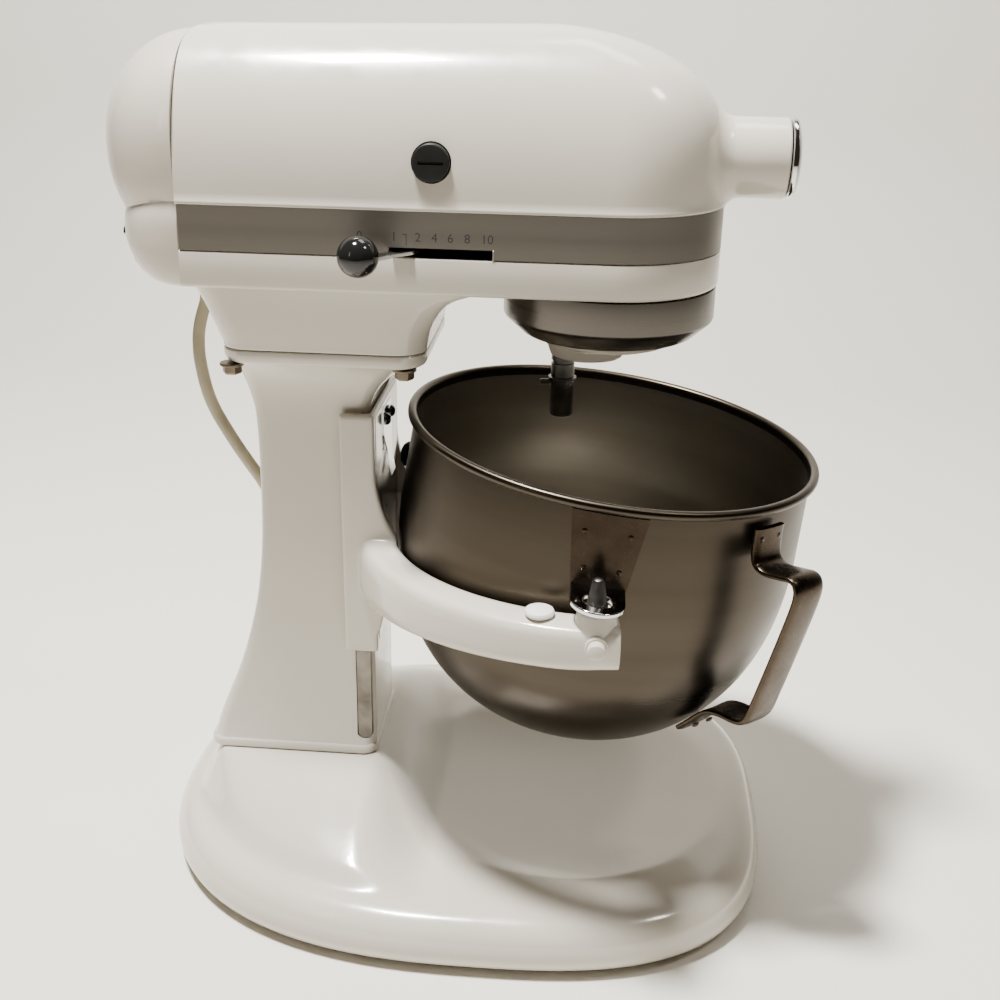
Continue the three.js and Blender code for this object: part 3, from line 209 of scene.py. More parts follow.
def arc(centre, radius, start, end, steps=6):
    angles = np.radians(np.linspace(start, end, steps + 1))
    return [(centre[0] + radius * math.cos(a), centre[1] + radius * math.sin(a)) for a in angles]


def power_round(angle, power):
    """A point of a superellipse of unit half axes: power 2 is a circle, more is squarer."""
    c, s = np.cos(angle), np.sin(angle)
    return np.sign(c) * np.abs(c) ** (2 / power), np.sign(s) * np.abs(s) ** (2 / power)


def rounded_ring(z, rear, front, half, corner, steps=8):
    """A rectangle with round corners at height z, from rear to front in x and half to each side in y."""
    ring = []
    for quarter, (sx, sy) in enumerate(((1, 1), (-1, 1), (-1, -1), (1, -1))):
        x = front - corner if sx > 0 else rear + corner
        for i in range(steps + 1):
            angle = (quarter + i / steps) * math.pi / 2
            ring.append((x + corner * math.cos(angle), sy * (half - corner) + corner * math.sin(angle), z))
    return ring


def block(name, x, y, z, material, edge=0.0):
    """A box between pairs of x, y and z; edge is the width of its bevel."""
    corners = [(a, b, c) for c in z for a, b in ((x[0], y[0]), (x[1], y[0]), (x[1], y[1]), (x[0], y[1]))]
    faces = [(0, 1, 2, 3), (4, 5, 6, 7), (0, 1, 5, 4), (1, 2, 6, 5), (2, 3, 7, 6), (3, 0, 4, 7)]
    piece = build(name, corners, faces, material)
    if edge:
        soften(piece, edge)
    return piece


def soften(piece, width, segments=3):
    bevel = piece.modifiers.new("edges", "BEVEL")
    bevel.width = width * MM
    bevel.segments = segments
    bevel.limit_method = "ANGLE"
    bevel.harden_normals = True
    settle(piece)


def settle(piece):
    """Applies a piece's modifiers to its mesh."""
    graph = bpy.context.evaluated_depsgraph_get()
    mesh = bpy.data.meshes.new_from_object(piece.evaluated_get(graph), depsgraph=graph)
    piece.modifiers.clear()
    piece.data = mesh
    return piece


def carve(piece, *cutters, how="DIFFERENCE", sharp=32):
    """Cuts other pieces out of a piece, or with UNION adds them. The cutters are used up."""
    for cutter in cutters:
        boolean = piece.modifiers.new("cut", "BOOLEAN")
        boolean.operation = how
        boolean.solver = "EXACT"
        boolean.object = cutter
        boolean.material_mode = "TRANSFER"
        settle(piece)
        bpy.data.objects.remove(cutter)
    shade(piece, sharp)
    return piece


def merge(piece, *others):
    """Puts other pieces into one piece, keeping their materials."""
    with bpy.context.temp_override(active_object=piece, selected_editable_objects=[piece, *others]):
        bpy.ops.object.join()
    return piece


def remesh(piece, voxel, smoothing):
    """Blends a union of solids into one smooth casting."""
    grid = piece.modifiers.new("grid", "REMESH")
    grid.mode = "VOXEL"
    grid.voxel_size = voxel * MM
    grid.use_smooth_shade = True
    soft = piece.modifiers.new("soft", "SMOOTH")
    soft.factor = 0.5
    soft.iterations = smoothing
    settle(piece)
    piece.data.shade_smooth()
    return piece


def stands_for(piece, body, slot, *nodes):
    """Puts a piece on its body in place of CAD nodes, by default the one that its name ends in."""
    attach(piece, body)
    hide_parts(*(nodes or (piece.name.replace("look_", ""),)))
    return piece


# ---- Materials --------------------------------------------------------------
class Paint:
    """A material with a Principled shader, with helpers for the textures that feed it."""

    def __init__(self, name, color, roughness, metallic=0.0, **sockets):
        self.material = bpy.data.materials.new(name)
        self.material.use_nodes = True
        self.tree = self.material.node_tree
        self.shader = self.tree.nodes["Principled BSDF"]
        self.shader.inputs["Base Color"].default_value = (*color, 1)
        self.shader.inputs["Roughness"].default_value = roughness
        self.shader.inputs["Metallic"].default_value = metallic
        for socket, value in sockets.items():
            self.shader.inputs[socket.replace("_", " ")].default_value = value
        self.color = color
        self.material.diffuse_color = (*color, 1)

    def noise(self, scale, stretch=(1, 1, 1), turn=(0, 0, 0), detail=3.0, origin=(0, 0, 0)):
        coordinates = self.tree.nodes.new("ShaderNodeTexCoord")
        mapping = self.tree.nodes.new("ShaderNodeMapping")
        mapping.vector_type = "TEXTURE"
        mapping.inputs["Location"].default_value = origin
        mapping.inputs["Rotation"].default_value = turn
        mapping.inputs["Scale"].default_value = stretch
        texture = self.tree.nodes.new("ShaderNodeTexNoise")
        texture.inputs["Scale"].default_value = scale
        texture.inputs["Detail"].default_value = detail
        self.tree.links.new(coordinates.outputs["Object"], mapping.inputs["Vector"])
        self.tree.links.new(mapping.outputs["Vector"], texture.inputs["Vector"])
        return texture.outputs["Fac"]

    def rough(self, source, low, high):
        remap = self.tree.nodes.new("ShaderNodeMapRange")
        remap.inputs["From Min"].default_value = 0.3
        remap.inputs["From Max"].default_value = 0.7
        remap.inputs["To Min"].default_value = low
        remap.inputs["To Max"].default_value = high
        self.tree.links.new(source, remap.inputs["Value"])
        self.tree.links.new(remap.outputs["Result"], self.shader.inputs["Roughness"])
        return self

    def tint(self, source, other, low=0.35, high=0.65):
        """Runs the base colour from the material's own colour to another where the texture is high."""
        ramp = self.tree.nodes.new("ShaderNodeValToRGB")
        ramp.color_ramp.elements[0].position = low
        ramp.color_ramp.elements[0].color = (*self.color, 1)
        ramp.color_ramp.elements[1].position = high
        ramp.color_ramp.elements[1].color = (*other, 1)
        self.tree.links.new(source, ramp.inputs["Fac"])
        self.tree.links.new(ramp.outputs["Color"], self.shader.inputs["Base Color"])
        return self

    def bump(self, source, strength, distance):
        node = self.tree.nodes.new("ShaderNodeBump")
        node.inputs["Strength"].default_value = strength
        node.inputs["Distance"].default_value = distance
        self.tree.links.new(source, node.inputs["Height"])
        self.tree.links.new(node.outputs["Normal"], self.shader.inputs["Normal"])
        return self


def enamel(name, color, shade_color):
    paint = Paint(name, color, 0.2, Coat_Weight=0.4, Coat_Roughness=0.06)
    paint.tint(paint.noise(9, detail=5), shade_color, 0.4, 0.75)
    paint.rough(paint.noise(70), 0.15, 0.27)
    paint.bump(paint.noise(420), 0.06, 0.0002)
    return paint.material


def brushed(name, color, other, low, high, stretch, turn=(0, 0, 0), **sockets):
    paint = Paint(name, color, low, 1.0, **sockets)
    grain_and_sheen_streaks = paint.noise(45, stretch, turn, detail=4)
    # The lighter colour along these vertical streaks is painted sheen, standing in for the highlights that
    # circumferential brushing draws out; the same streaks also vary roughness and bump as grain.
    paint.tint(grain_and_sheen_streaks, other, 0.3, 0.7)
    paint.rough(grain_and_sheen_streaks, low, high)
    paint.bump(grain_and_sheen_streaks, 0.12, 0.0001)
    return paint.material


def plain_metal(name, color, other, low, high):
    paint = Paint(name, color, low, 1.0)
    paint.tint(paint.noise(60, detail=5), other)
    paint.rough(paint.noise(140), low, high)
    paint.bump(paint.noise(700), 0.05, 0.0001)
    return paint.material


def moulded(name, color, other, low, high, grain=900, depth=0.08, **sockets):
    paint = Paint(name, color, low, **sockets)
    paint.tint(paint.noise(40), other)
    paint.rough(paint.noise(120), low, high)
    paint.bump(paint.noise(grain), depth, 0.0002)
    return paint.material


ENAMEL = enamel("warm_white_enamel", (0.62, 0.578, 0.50), (0.58, 0.535, 0.455))
COVER = enamel("rear_cover_enamel", (0.60, 0.555, 0.48), (0.56, 0.51, 0.435))
# The band's dark brown colour is painted reflection of the dark room round it, not the metal's own colour.
BAND_PAINTED_REFLECTION = brushed("brushed_band", (0.18, 0.163, 0.142), (0.23, 0.212, 0.188), 0.3, 0.46, (60, 60, 1))
CHROME = plain_metal("chrome", (0.78, 0.785, 0.79), (0.72, 0.72, 0.72), 0.05, 0.12)
# The drip ring's near-black brown is painted reflection of the dark room, not the chrome's own colour.
RING_PAINTED_REFLECTION = brushed("drip_ring_chrome_painted_reflection", (0.08, 0.073, 0.064), (0.105, 0.096, 0.084), 0.2, 0.32, (60, 60, 1))
# The bowl's outside colour, near-black brown, is painted reflection of the dark brown room; the inside copy of
# the same steel keeps a lighter colour.
BOWL_PAINTED_REFLECTION = brushed("bowl_stainless_painted_reflection", (0.047, 0.038, 0.028), (0.07, 0.058, 0.044), 0.26, 0.36, (60, 60, 1),
               (0, TILT, 0), Anisotropic=0.5)
BOWL_INSIDE = brushed("bowl_inside", (0.30, 0.275, 0.235), (0.36, 0.335, 0.29), 0.28, 0.4, (60, 60, 1),
                      (0, TILT, 0), Anisotropic=0.5)
# The handle's dark bronze is painted reflection of the dark brown room, not the stainless steel's own colour.
HANDLE_PAINTED_REFLECTION = plain_metal("handle_stainless_painted_reflection", (0.07, 0.054, 0.038), (0.052, 0.038, 0.026), 0.22, 0.34)
# The ears' dark brown is painted reflection of the dark brown room, not the steel's own colour.
EAR_PAINTED_REFLECTION = plain_metal("ear_steel", (0.048, 0.036, 0.026), (0.036, 0.026, 0.018), 0.22, 0.34)
STEEL = plain_metal("machined_steel", (0.42, 0.40, 0.38), (0.30, 0.28, 0.26), 0.22, 0.42)
SHAFT = plain_metal("oiled_steel", (0.13, 0.125, 0.12), (0.07, 0.066, 0.06), 0.25, 0.42)
POLISHED = plain_metal("polished_plate", (0.42, 0.405, 0.385), (0.30, 0.285, 0.27), 0.08, 0.2)
DARK_STEEL = plain_metal("dark_steel", (0.16, 0.15, 0.14), (0.09, 0.085, 0.08), 0.3, 0.5)
RAIL = plain_metal("rail_steel", (0.24, 0.22, 0.19), (0.14, 0.125, 0.105), 0.35, 0.6)
SCREW = plain_metal("plated_screw", (0.24, 0.20, 0.15), (0.12, 0.09, 0.065), 0.25, 0.5)
IRON = plain_metal("sintered_iron", (0.25, 0.25, 0.25), (0.16, 0.16, 0.16), 0.45, 0.65)
COPPER = plain_metal("copper_winding", (0.55, 0.25, 0.13), (0.30, 0.28, 0.27), 0.3, 0.5)
BRONZE = plain_metal("worm_wheel_bronze", (0.52, 0.38, 0.16), (0.42, 0.30, 0.12), 0.3, 0.45)
GLOSS_BLACK = moulded("gloss_black", (0.008, 0.008, 0.008), (0.012, 0.012, 0.012), 0.06, 0.14, 300, 0.03)
MATT_BLACK = moulded("matt_black", (0.005, 0.005, 0.005), (0.009, 0.009, 0.0085), 0.45, 0.6,
                     Specular_IOR_Level=0.25)
CARBON = moulded("carbon_brush", (0.03, 0.03, 0.03), (0.05, 0.05, 0.05), 0.5, 0.7)
RUBBER = moulded("foot_rubber", (0.04, 0.04, 0.04), (0.06, 0.058, 0.055), 0.7, 0.9)
NYLON = moulded("white_nylon", (0.82, 0.805, 0.77), (0.76, 0.74, 0.70), 0.3, 0.42, 500, 0.05)
VINYL = moulded("cord_vinyl", (0.42, 0.38, 0.27), (0.34, 0.30, 0.21), 0.42, 0.6, 250, 0.1)
INK = moulded("printed_ink", (0.02, 0.02, 0.02), (0.03, 0.03, 0.03), 0.45, 0.6)


# ---- Cord -------------------------------------------------------------------
CORD_R = 3.15
CORD_ROUTE = [(-202, 6, 300), (-202.4, 5.8, 295), (-204.8, 4.4, 287), (-206.2, 2.8, 279), (-206.2, 1.2, 270),
              (-205.2, 0.3, 262), (-203, 0, 250), (-198.7, 0, 238), (-189.9, 1, 221), (-183.7, 3.5, 209),
              (-179.6, 8.5, 198.5), (-178, 16, 188), (-177.6, 25, 177), (-177.6, 35, 165), (-177.2, 47, 150),
              (-175.6, 61, 131), (-172.6, 76, 107), (-168, 92, 79), (-161, 108, 52), (-152, 123.5, 31),
              (-141.5, 135, 15.5), (-130, 142, 7.2), (-117, 146, 3.7), (-102, 148.6, 3.15), (-85, 152, 3.15),
              (-68, 156.6, 3.15), (-50, 161.4, 3.15), (-32.5, 162.85, 3.15)]
COIL_X, COIL_Y, COIL_MEAN = -10, 200, 34
PLUG_X, PLUG_Y = 27.15, 228.2
RELIEF = (-202, 6, 300.7)


def coil_route():
    """Two turns on the table from the outside in, then two on top of them from the inside out."""
    diameter = 2 * CORD_R
    outer, inner = COIL_MEAN + CORD_R, COIL_MEAN - CORD_R
    keys = [(0, outer, 0), (0.93, outer, 0), (1.07, inner, 0), (1.93, inner, 0), (2.07, inner, 1),
            (2.93, inner, 1), (3.07, outer, 1), (4.25, outer, 1)]
    points = []
    for turn in np.linspace(0, keys[-1][0], 120):
        radius = np.interp(turn, [k[0] for k in keys], [k[1] for k in keys])
        level = np.interp(turn, [k[0] for k in keys], [k[2] for k in keys])
        angle = -math.pi / 2 + turn * 2 * math.pi
        points.append((COIL_X + radius * math.cos(angle), COIL_Y + radius * math.sin(angle),
                       CORD_R + diameter * level))
    return points


def curve_piece(name, points, radius, material):
    curve = bpy.data.curves.new(name, "CURVE")
    curve.dimensions = "3D"
    curve.bevel_depth = radius * MM
    curve.bevel_resolution = 6
    curve.use_fill_caps = True
    line = curve.splines.new("POLY")
    line.points.add(len(points) - 1)
    for point, co in zip(line.points, place(points)):
        point.co = (*co, 1)
    curve.materials.append(material)
    return add_object(name, curve)


def plug_piece():
    rings = []
    for y, wide, tall in spline([(0, 4.2, 4.2), (6, 5.4, 5), (12, 8, 6.6), (17, 12, 8.4), (26, 13, 9),
            (33, 12.6, 8.8), (34, 12, 8.4)], 4):
        x, z = power_round(circle(40), 3)
        rings.append(np.stack([PLUG_X + wide * x, np.full(40, PLUG_Y + y), 9 + tall * z], 1))
    body = loft("look_plug", rings, MATT_BLACK)
    for x in (-6.35, 6.35):
        body = merge(body, block("blade", (PLUG_X + x - 0.8, PLUG_X + x + 0.8), (PLUG_Y + 33, PLUG_Y + 49.5),
                (9, 15), CHROME, 0.3))
    pin = turned("earth_pin", [(0, 33), (2.4, 33), (2.4, 48), (1.6, 50), (0, 50)], CHROME,
                 (PLUG_X, PLUG_Y, 4.5), "y", 24)
    return merge(body, pin)


def cord():
    route = [tuple(p) for p in spline(CORD_ROUTE, 3)] + coil_route()[1:]
    route += [(COIL_X + COIL_MEAN + CORD_R, COIL_Y + step, 3 * CORD_R)
              for step in (7, 14, 21, PLUG_Y - COIL_Y - 0.3)]
    piece = curve_piece("look_cord", route, CORD_R, VINYL)
    stands_for(piece, "stand", "cord_vinyl", "cord", "cord_coil")
    plug = stands_for(plug_piece(), "stand", "black_plastic", "plug")
    tie = turned("cord_tie", [(7.6, -2.5), (8.1, -1.5), (8.1, 1.5), (7.6, 2.5), (7.1, 1.5), (7.1, -1.5)],
                 MATT_BLACK, (COIL_X, COIL_Y + COIL_MEAN, 2 * CORD_R), "x", 32, closed=True)
    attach(tie, "stand")
    relief = [(0, 0), (3.8, 0), (4.2, 0.6)]
    for i in range(3):
        wider, higher = i * 0.5, 3.2 * i
        relief += [(r + wider, h + higher) for r, h in ((4.4, 1.6), (4.8, 2.2), (4.9, 3.6), (4.4, 4.2))]
    relief += [(6.4, 11.2), (6.4, 13), (4.2, 13), (4.2, 20), (0, 20)]
    sleeve = turned("look_strain_relief", relief, MATT_BLACK, RELIEF, "z", 40)
    stands_for(sleeve, "stand", "black_plastic", "strain_relief")


cord()


# ---- Head -------------------------------------------------------------------
def nose_x(z):
    """How far forward the nose reaches at a height."""
    t = np.clip((z - 355) / (HEIGHT - 355), 0, 1)
    return -32 + 83.7 * (1 - t ** 3.5) ** (1 / 1.7)


def arch_half(z):
    """The head's half width at a height, over the band."""
    t = np.clip((z - BAND_TOP) / (HEIGHT - BAND_TOP), 0, 1)
    return HALF * (1 - t ** ARCH) ** (1 / ARCH)


def sink(z, x):
    """How far the top line falls towards the rear."""
    rise = max(0.0, (z - BAND_TOP) / (HEIGHT - BAND_TOP))
    return 0.016 * max(0.0, -30 - x) * rise ** 2


def head_ring(z, half, nose, rear=SEAM_X, steps=40):
    """The head's outline at a height: straight sides and a half round nose."""
    centre = nose - half
    side = [(rear + (centre - rear) * t, -half) for t in np.linspace(0, 1, 13)[:-1]]
    front = [(centre + half * math.cos(a), half * math.sin(a)) for a in np.linspace(-math.pi / 2,
            math.pi / 2, steps + 1)]
    return [(x, y, z - sink(z, x)) for x, y in side + front + [(x, -y) for x, y in reversed(side)]]


def hub_neck():
    """The collar of the attachment hub, with a fillet where it leaves the nose."""
    fillet = 7.0
    angles = circle(96)

    def ring(radius, lift=None, x=None):
        y, z = radius * np.cos(angles), HUB_Z + radius * np.sin(angles)
        half = arch_half(z)
        surface = nose_x(z) - half + np.sqrt(np.maximum(half ** 2 - y ** 2, 0))
        return np.stack([surface + lift if x is None else np.full(96, float(x)), y, z], 1)

    rings = [ring(HUB_R + fillet - 1, lift=-8), ring(HUB_R + fillet, lift=-0.35)]
    for turn in np.radians(np.linspace(8, 84, 10)):
        rings.append(ring(HUB_R + fillet * (1 - math.sin(turn)), lift=fillet * (1 - math.cos(turn)) - 0.25))
    rings += [ring(HUB_R, x=60), ring(HUB_R, x=HUB_END - 1.6), ring(HUB_R - 0.2, x=HUB_END - 0.7),
              ring(HUB_R - 0.8, x=HUB_END - 0.1), ring(HUB_R - 1.6, x=HUB_END), ring(13.8, x=HUB_END),
              ring(13.5, x=HUB_END - 0.4), ring(13.5, x=60)]
    return loft("hub_neck", rings, ENAMEL)


def upper_housing():
    recess = HALF - RECESS
    rings = [head_ring(z, r, r) for z, r in ((PART_Z, recess), (352.7, recess), (352.8, HALF + 0.1),
            (353.2, HALF + 0.5), (353.8, HALF + 0.62), (354.5, HALF + 0.45), (355.2, HALF + 0.1))]
    for turn in np.radians(np.linspace(3, 89.3, 34)):
        z = BAND_TOP + (HEIGHT - BAND_TOP) * math.sin(turn) ** (2 / ARCH)
        if z > 356:
            half = float(arch_half(z))
            drop = max(0.0, (z - HEIGHT + 9) / 9)
            rear = SEAM_X + 6 * (1 - math.sqrt(max(0.0, 1 - min(1, drop) ** 2)))
            rings.append(head_ring(z, half, float(nose_x(z)), rear))
    shell = loft("look_upper_housing", rings, ENAMEL, 30)
    wells = [turned("well", [(0, -14), (8.9, -14), (8.9, 14), (0, 14)], ENAMEL,
                    (BRUSH_X, side * HALF, HUB_Z), "y", 64) for side in (-1, 1)]
    carve(shell, *wells, sharp=30)
    stands_for(merge(shell, hub_neck()), "stand", "enamel")


def lower_housing():
    edge = [(HEAD_BOTTOM, HALF - 2.2), (HEAD_BOTTOM + 0.3, HALF - 1.2), (HEAD_BOTTOM + 1, HALF - 0.4),
            (HEAD_BOTTOM + 2.2, HALF), (BAND_BOTTOM - 1.2, HALF), (BAND_BOTTOM - 0.6, HALF - 0.2),
            (BAND_BOTTOM - 0.35, HALF - 0.7), (BAND_BOTTOM - 0.3, HALF - RECESS),
            (PART_Z - 0.3, HALF - RECESS)]
    tub = loft("look_lower_housing", [head_ring(z, r, r) for z, r in edge], ENAMEL)
    profile = [(322, -193.8, -46, 50.8, 14), (317, -193.6, -50, 50.7, 14), (314.8, -193.2, -57, 50.5, 14),
               (311, -191.4, -68.5, 49.9, 14), (306, -189, -76, 49.2, 14), (297, -185.6, -81.8, 48, 14),
               (287, *FLANGE)]
    rows = list(spline(profile, 8)) + [(SEAM_Z + 0.9, *FLANGE), (SEAM_Z + 0.3, FLANGE[0] + 0.3,
            FLANGE[1] - 0.3, FLANGE[2] - 0.3, 13.7), (SEAM_Z + 0.1, FLANGE[0] + 1, FLANGE[1] - 1,
            FLANGE[2] - 1, 13)]
    neck = loft("neck", [rounded_ring(*row) for row in rows], ENAMEL)
    # The recess's cut faces take matt black: painted shade inside the lever slot.
    slot = block("slot", SLOT[:2], (-HALF - 6, -HALF + 9), SLOT[2:], MATT_BLACK)
    carve(tub, slot)
    stands_for(merge(tub, neck), "stand", "enamel")


def trim_band():
    outer = [head_ring(z, HALF - inset, HALF - inset, SEAM_X + 0.5) for z,
             inset in ((BAND_BOTTOM, 0.9), (BAND_BOTTOM, 0.2), (BAND_BOTTOM + 0.15, 0.05),
                       (BAND_TOP - 0.15, 0.05), (BAND_TOP, 0.2), (BAND_TOP, 0.9), (BAND_BOTTOM, 0.9))]
    strip = loft("look_trim_band", outer, BAND_PAINTED_REFLECTION, around=False)
    strip = carve(strip, block("slot", SLOT[:2], (-60, -40), (SLOT[2] - 2, SLOT[3]), BAND_PAINTED_REFLECTION))
    clip = block("slot_clip", (-52.6, -51.6), (-HALF - 0.2, -HALF + 3), (SLOT[2], SLOT[3]), STEEL, 0.3)
    stands_for(merge(strip, clip), "stand", "brushed_band")


def speed_scale():
    marks = [("0", -112), ("1", -96.5), ("2", -85.8), ("4", -78.4), ("6", -71.3), ("8", -63.8),
             ("10", -54.9)]
    face = -HALF + 0.05
    for text, x in marks:
        font = bpy.data.curves.new(f"mark_{text}", "FONT")
        font.body = text
        font.size = 5.6 * MM
        font.align_x = "CENTER"
        font.extrude = 0.03 * MM
        font.materials.append(INK)
        label = add_object(f"scale_{text}", font)
        label.matrix_world = Matrix.Translation(place((x, face, 339.6))) @ Matrix.Rotation(math.pi / 2, 4,
                "X")
        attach(label, "stand")
    tick = merge(block("scale_tick", (-91.2, -90.8), (face - 0.03, face), (337.8, 342.8), INK),
                 block("tick_foot", (-92.6, -90.8), (face - 0.03, face), (342.4, 342.8), INK))
    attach(tick, "stand")


def rear_cover():
    rings = []
    for turn in np.radians(np.linspace(0, 89, 24)):
        y, z = power_round(circle(96), 2.25)
        grow = math.cos(turn)
        rings.append(np.stack([np.full(96, SEAM_X - 0.4 - 44.2 * math.sin(turn)), (HALF - 1) * y * grow,
                               373 + 52 * z * grow], 1))
    dome = loft("look_rear_cover", rings, COVER, 30)
    rows = []
    for z, shrink in spline([(314, 15), (314.4, 12.6), (316, 9), (320, 5), (326, 2), (334, 0), (345, 1),
            (353, 6)], 4):
        x, y = power_round(math.pi / 2 + np.linspace(0, 1, 49) * math.pi, 2.2)
        rows.append(np.stack([SEAM_X - 0.3 + (37.4 - shrink) * x, (HALF - 1.2 - 0.4 * shrink) * y,
                              np.full(49, z)], 1))
    lower = loft("terminal_block", rows, COVER, 40)
    cover = carve(dome, lower, how="UNION", sharp=40)
    for y in (-31, -21, 21, 31):
        carve(cover, block("vent", (-226, -206), (y - 2.3, y + 2.3), (305, 324), MATT_BLACK), sharp=40)
    stands_for(cover, "stand", "cover_enamel")
    screw = turned("look_rear_cover_screw", [(0, 0), (1.4, 0), (3.2, 0.7), (4, 1.8), (4, 3.2), (0, 3.2)],
                   CHROME, (-239, 0, 330), "x", 40)
    carve(screw, block("driver", (-241, -238.2), (-0.5, 0.5), (326, 334), CHROME))
    stands_for(screw, "stand", "chrome")


def hub():
    cap = [(0, 6.2), (9, 5.7), (14, 4.9), (17.2, 3.8), (18.5, 2.8), (18.7, 1.8), (18.5, 0.9), (18, 0.5),
           (11, 0.4), (11, -6), (0, -6)]
    stands_for(turned("look_hub_cap", cap, CHROME, (HUB_END, 0, HUB_Z), "x", 96), "hub_cover", "chrome")
    rings = []
    for height, radius in ((0, 7.6), (1.2, 9.2), (3, 10.3), (8.6, 10.3), (11, 9), (12.6, 6.5), (13, 0.1)):
        angles = circle(120)
        wave = radius * (1 - 0.035 * (1 + np.cos(angles * 20)) / 2 * (radius > 8))
        rings.append(np.stack([THUMB_X + wave * np.cos(angles), np.full(120, HUB_R + 4 + height),
                               HUB_Z + wave * np.sin(angles)], 1))
    knob = loft("look_thumb_screw", rings, GLOSS_BLACK, 40)
    stem = turned("stem", [(0, -8), (3, -8), (3, 0.5), (0, 0.5)], STEEL, (THUMB_X, HUB_R + 4, HUB_Z), "y",
                  32)
    stands_for(merge(knob, stem), "hub_screw", "black_gloss")


def brush_caps():
    for side, name in ((-1, "near"), (1, "far")):
        profile = [(0, 0), (6.9, 0), (7.9, 0.25), (8.3, 0.8), (8.3, 6), (0, 6)]
        profile = [(r, side * (1.4 - h)) for r, h in profile]
        cap = turned(f"look_brush_cap_{name}", profile, MATT_BLACK, (BRUSH_X, side * HALF, HUB_Z), "y", 64)
        faces = sorted((side * (HALF + 0.3), side * (HALF + 3)))
        carve(cap, block("driver", (BRUSH_X - 5.6, BRUSH_X + 5.6), faces, (HUB_Z - 0.7, HUB_Z + 0.7),
                         MATT_BLACK))
        stands_for(cap, "stand", "black_plastic")


def speed_lever():
    ball = [(KNOB_R * math.sin(a), KNOB_R * math.cos(a)) for a in np.linspace(0, math.pi, 33)]
    knob = turned("look_speed_knob", ball, GLOSS_BLACK, KNOB, "z", 64)
    stands_for(knob, "speed_control", "black_gloss")
    start, end = np.array(LEVER_PIVOT[:2]), np.array(KNOB[:2])
    along = (end - start) / np.linalg.norm(end - start)
    across = np.array((-along[1], along[0]))
    outline = [(-4, 5), (30, 5), (46, 3.4), (60, 3.4), (60, -3.4), (46, -3.4), (30, -5), (-4, -5)]
    flat = [start + along * a + across * b for a, b in outline]
    rings = [[(*p, LEVER_PIVOT[2] + h) for p in flat] for h in (-0.9, 0.9)]
    blade = loft("look_speed_lever", rings, CHROME)
    soften(blade, 0.4)
    stands_for(blade, "speed_control", "chrome")


def planetary():
    ring = [(49.6, HEAD_BOTTOM - 0.3), (51, HEAD_BOTTOM - 0.6), (51, 299.6), (50.4, 298.2), (48.6, 296.6),
            (42.2, 290.8), (40.8, 290.05), (37.6, 290), (37.4, 290.8), (39, 291.6), (41.2, 292.4),
            (48.4, 298.8), (49.6, 301)]
    stands_for(turned("look_drip_ring", ring, RING_PAINTED_REFLECTION, sides=128, closed=True), "stand", "chrome")
    dome = [(0, 301), (29, 301), (29, 297), (34, 294), (36, 292.4), (36.4, 291), (36.1, 289.6),
            (34.6, 287.8), (31.5, 286), (27, 284.4), (20, 283.2), (0, 282.6)]
    head = turned("look_planetary", dome, ENAMEL, sides=128)
    rows = []
    for z, long, wide in ((288, 23.4, 21.4), (284.2, 21.2, 18.8), (282.4, 19.6, 17), (279.5, 18.6, 15.9),
                          (277.4, 17.7, 14.9), (276.4, 16.2, 13.4), (276, 13.5, 10.8)):
        angles = circle(96)
        rows.append(np.stack([-9.5 + long * np.cos(angles), wide * np.sin(angles), np.full(96, float(z))],
                             1))
    carve(head, loft("boss", rows, ENAMEL, 30), how="UNION")
    hole = turned("weep_hole", [(0, -2), (1.5, -2), (1.5, 4), (0, 4)], MATT_BLACK, (-4, -9, 275), "z", 24)
    bore = turned("bore", [(0, -10), (6.1, -10), (6.1, 4), (0, 4)], MATT_BLACK, (BEATER_X, 0, 280), "z", 48)
    carve(head, hole, bore)
    stands_for(head, "planetary_head", "enamel")
    r = SHAFT_R
    shaft = [(0, 303), (r, 303), (r, 274.2), (r - 0.6, 273.8), (r - 0.6, 272.8), (r, 272.4), (r, 265.6),
             (r + 1.1, 265.4), (r + 1.2, 264.9), (r + 1.1, 264.4), (r, 264.2), (r, 246.6), (r - 0.4, 245.6),
             (r - 1.4, 245), (0, 245)]
    stands_for(turned("look_beater_shaft", shaft, SHAFT, (BEATER_X, 0, 0), sides=64), "beater_drive",
               "steel")
    pin = turned("look_beater_pin", [(0, 0), (1, 0), (1.5, 0.5), (1.5, 8), (0, 8)], DARK_STEEL,
                 (BEATER_X - r - 5.4, 0, 262.2), "x", 32)
    stands_for(pin, "beater_drive", "dark_steel")


upper_housing()
lower_housing()
trim_band()
speed_scale()
rear_cover()
hub()
brush_caps()
speed_lever()
planetary()


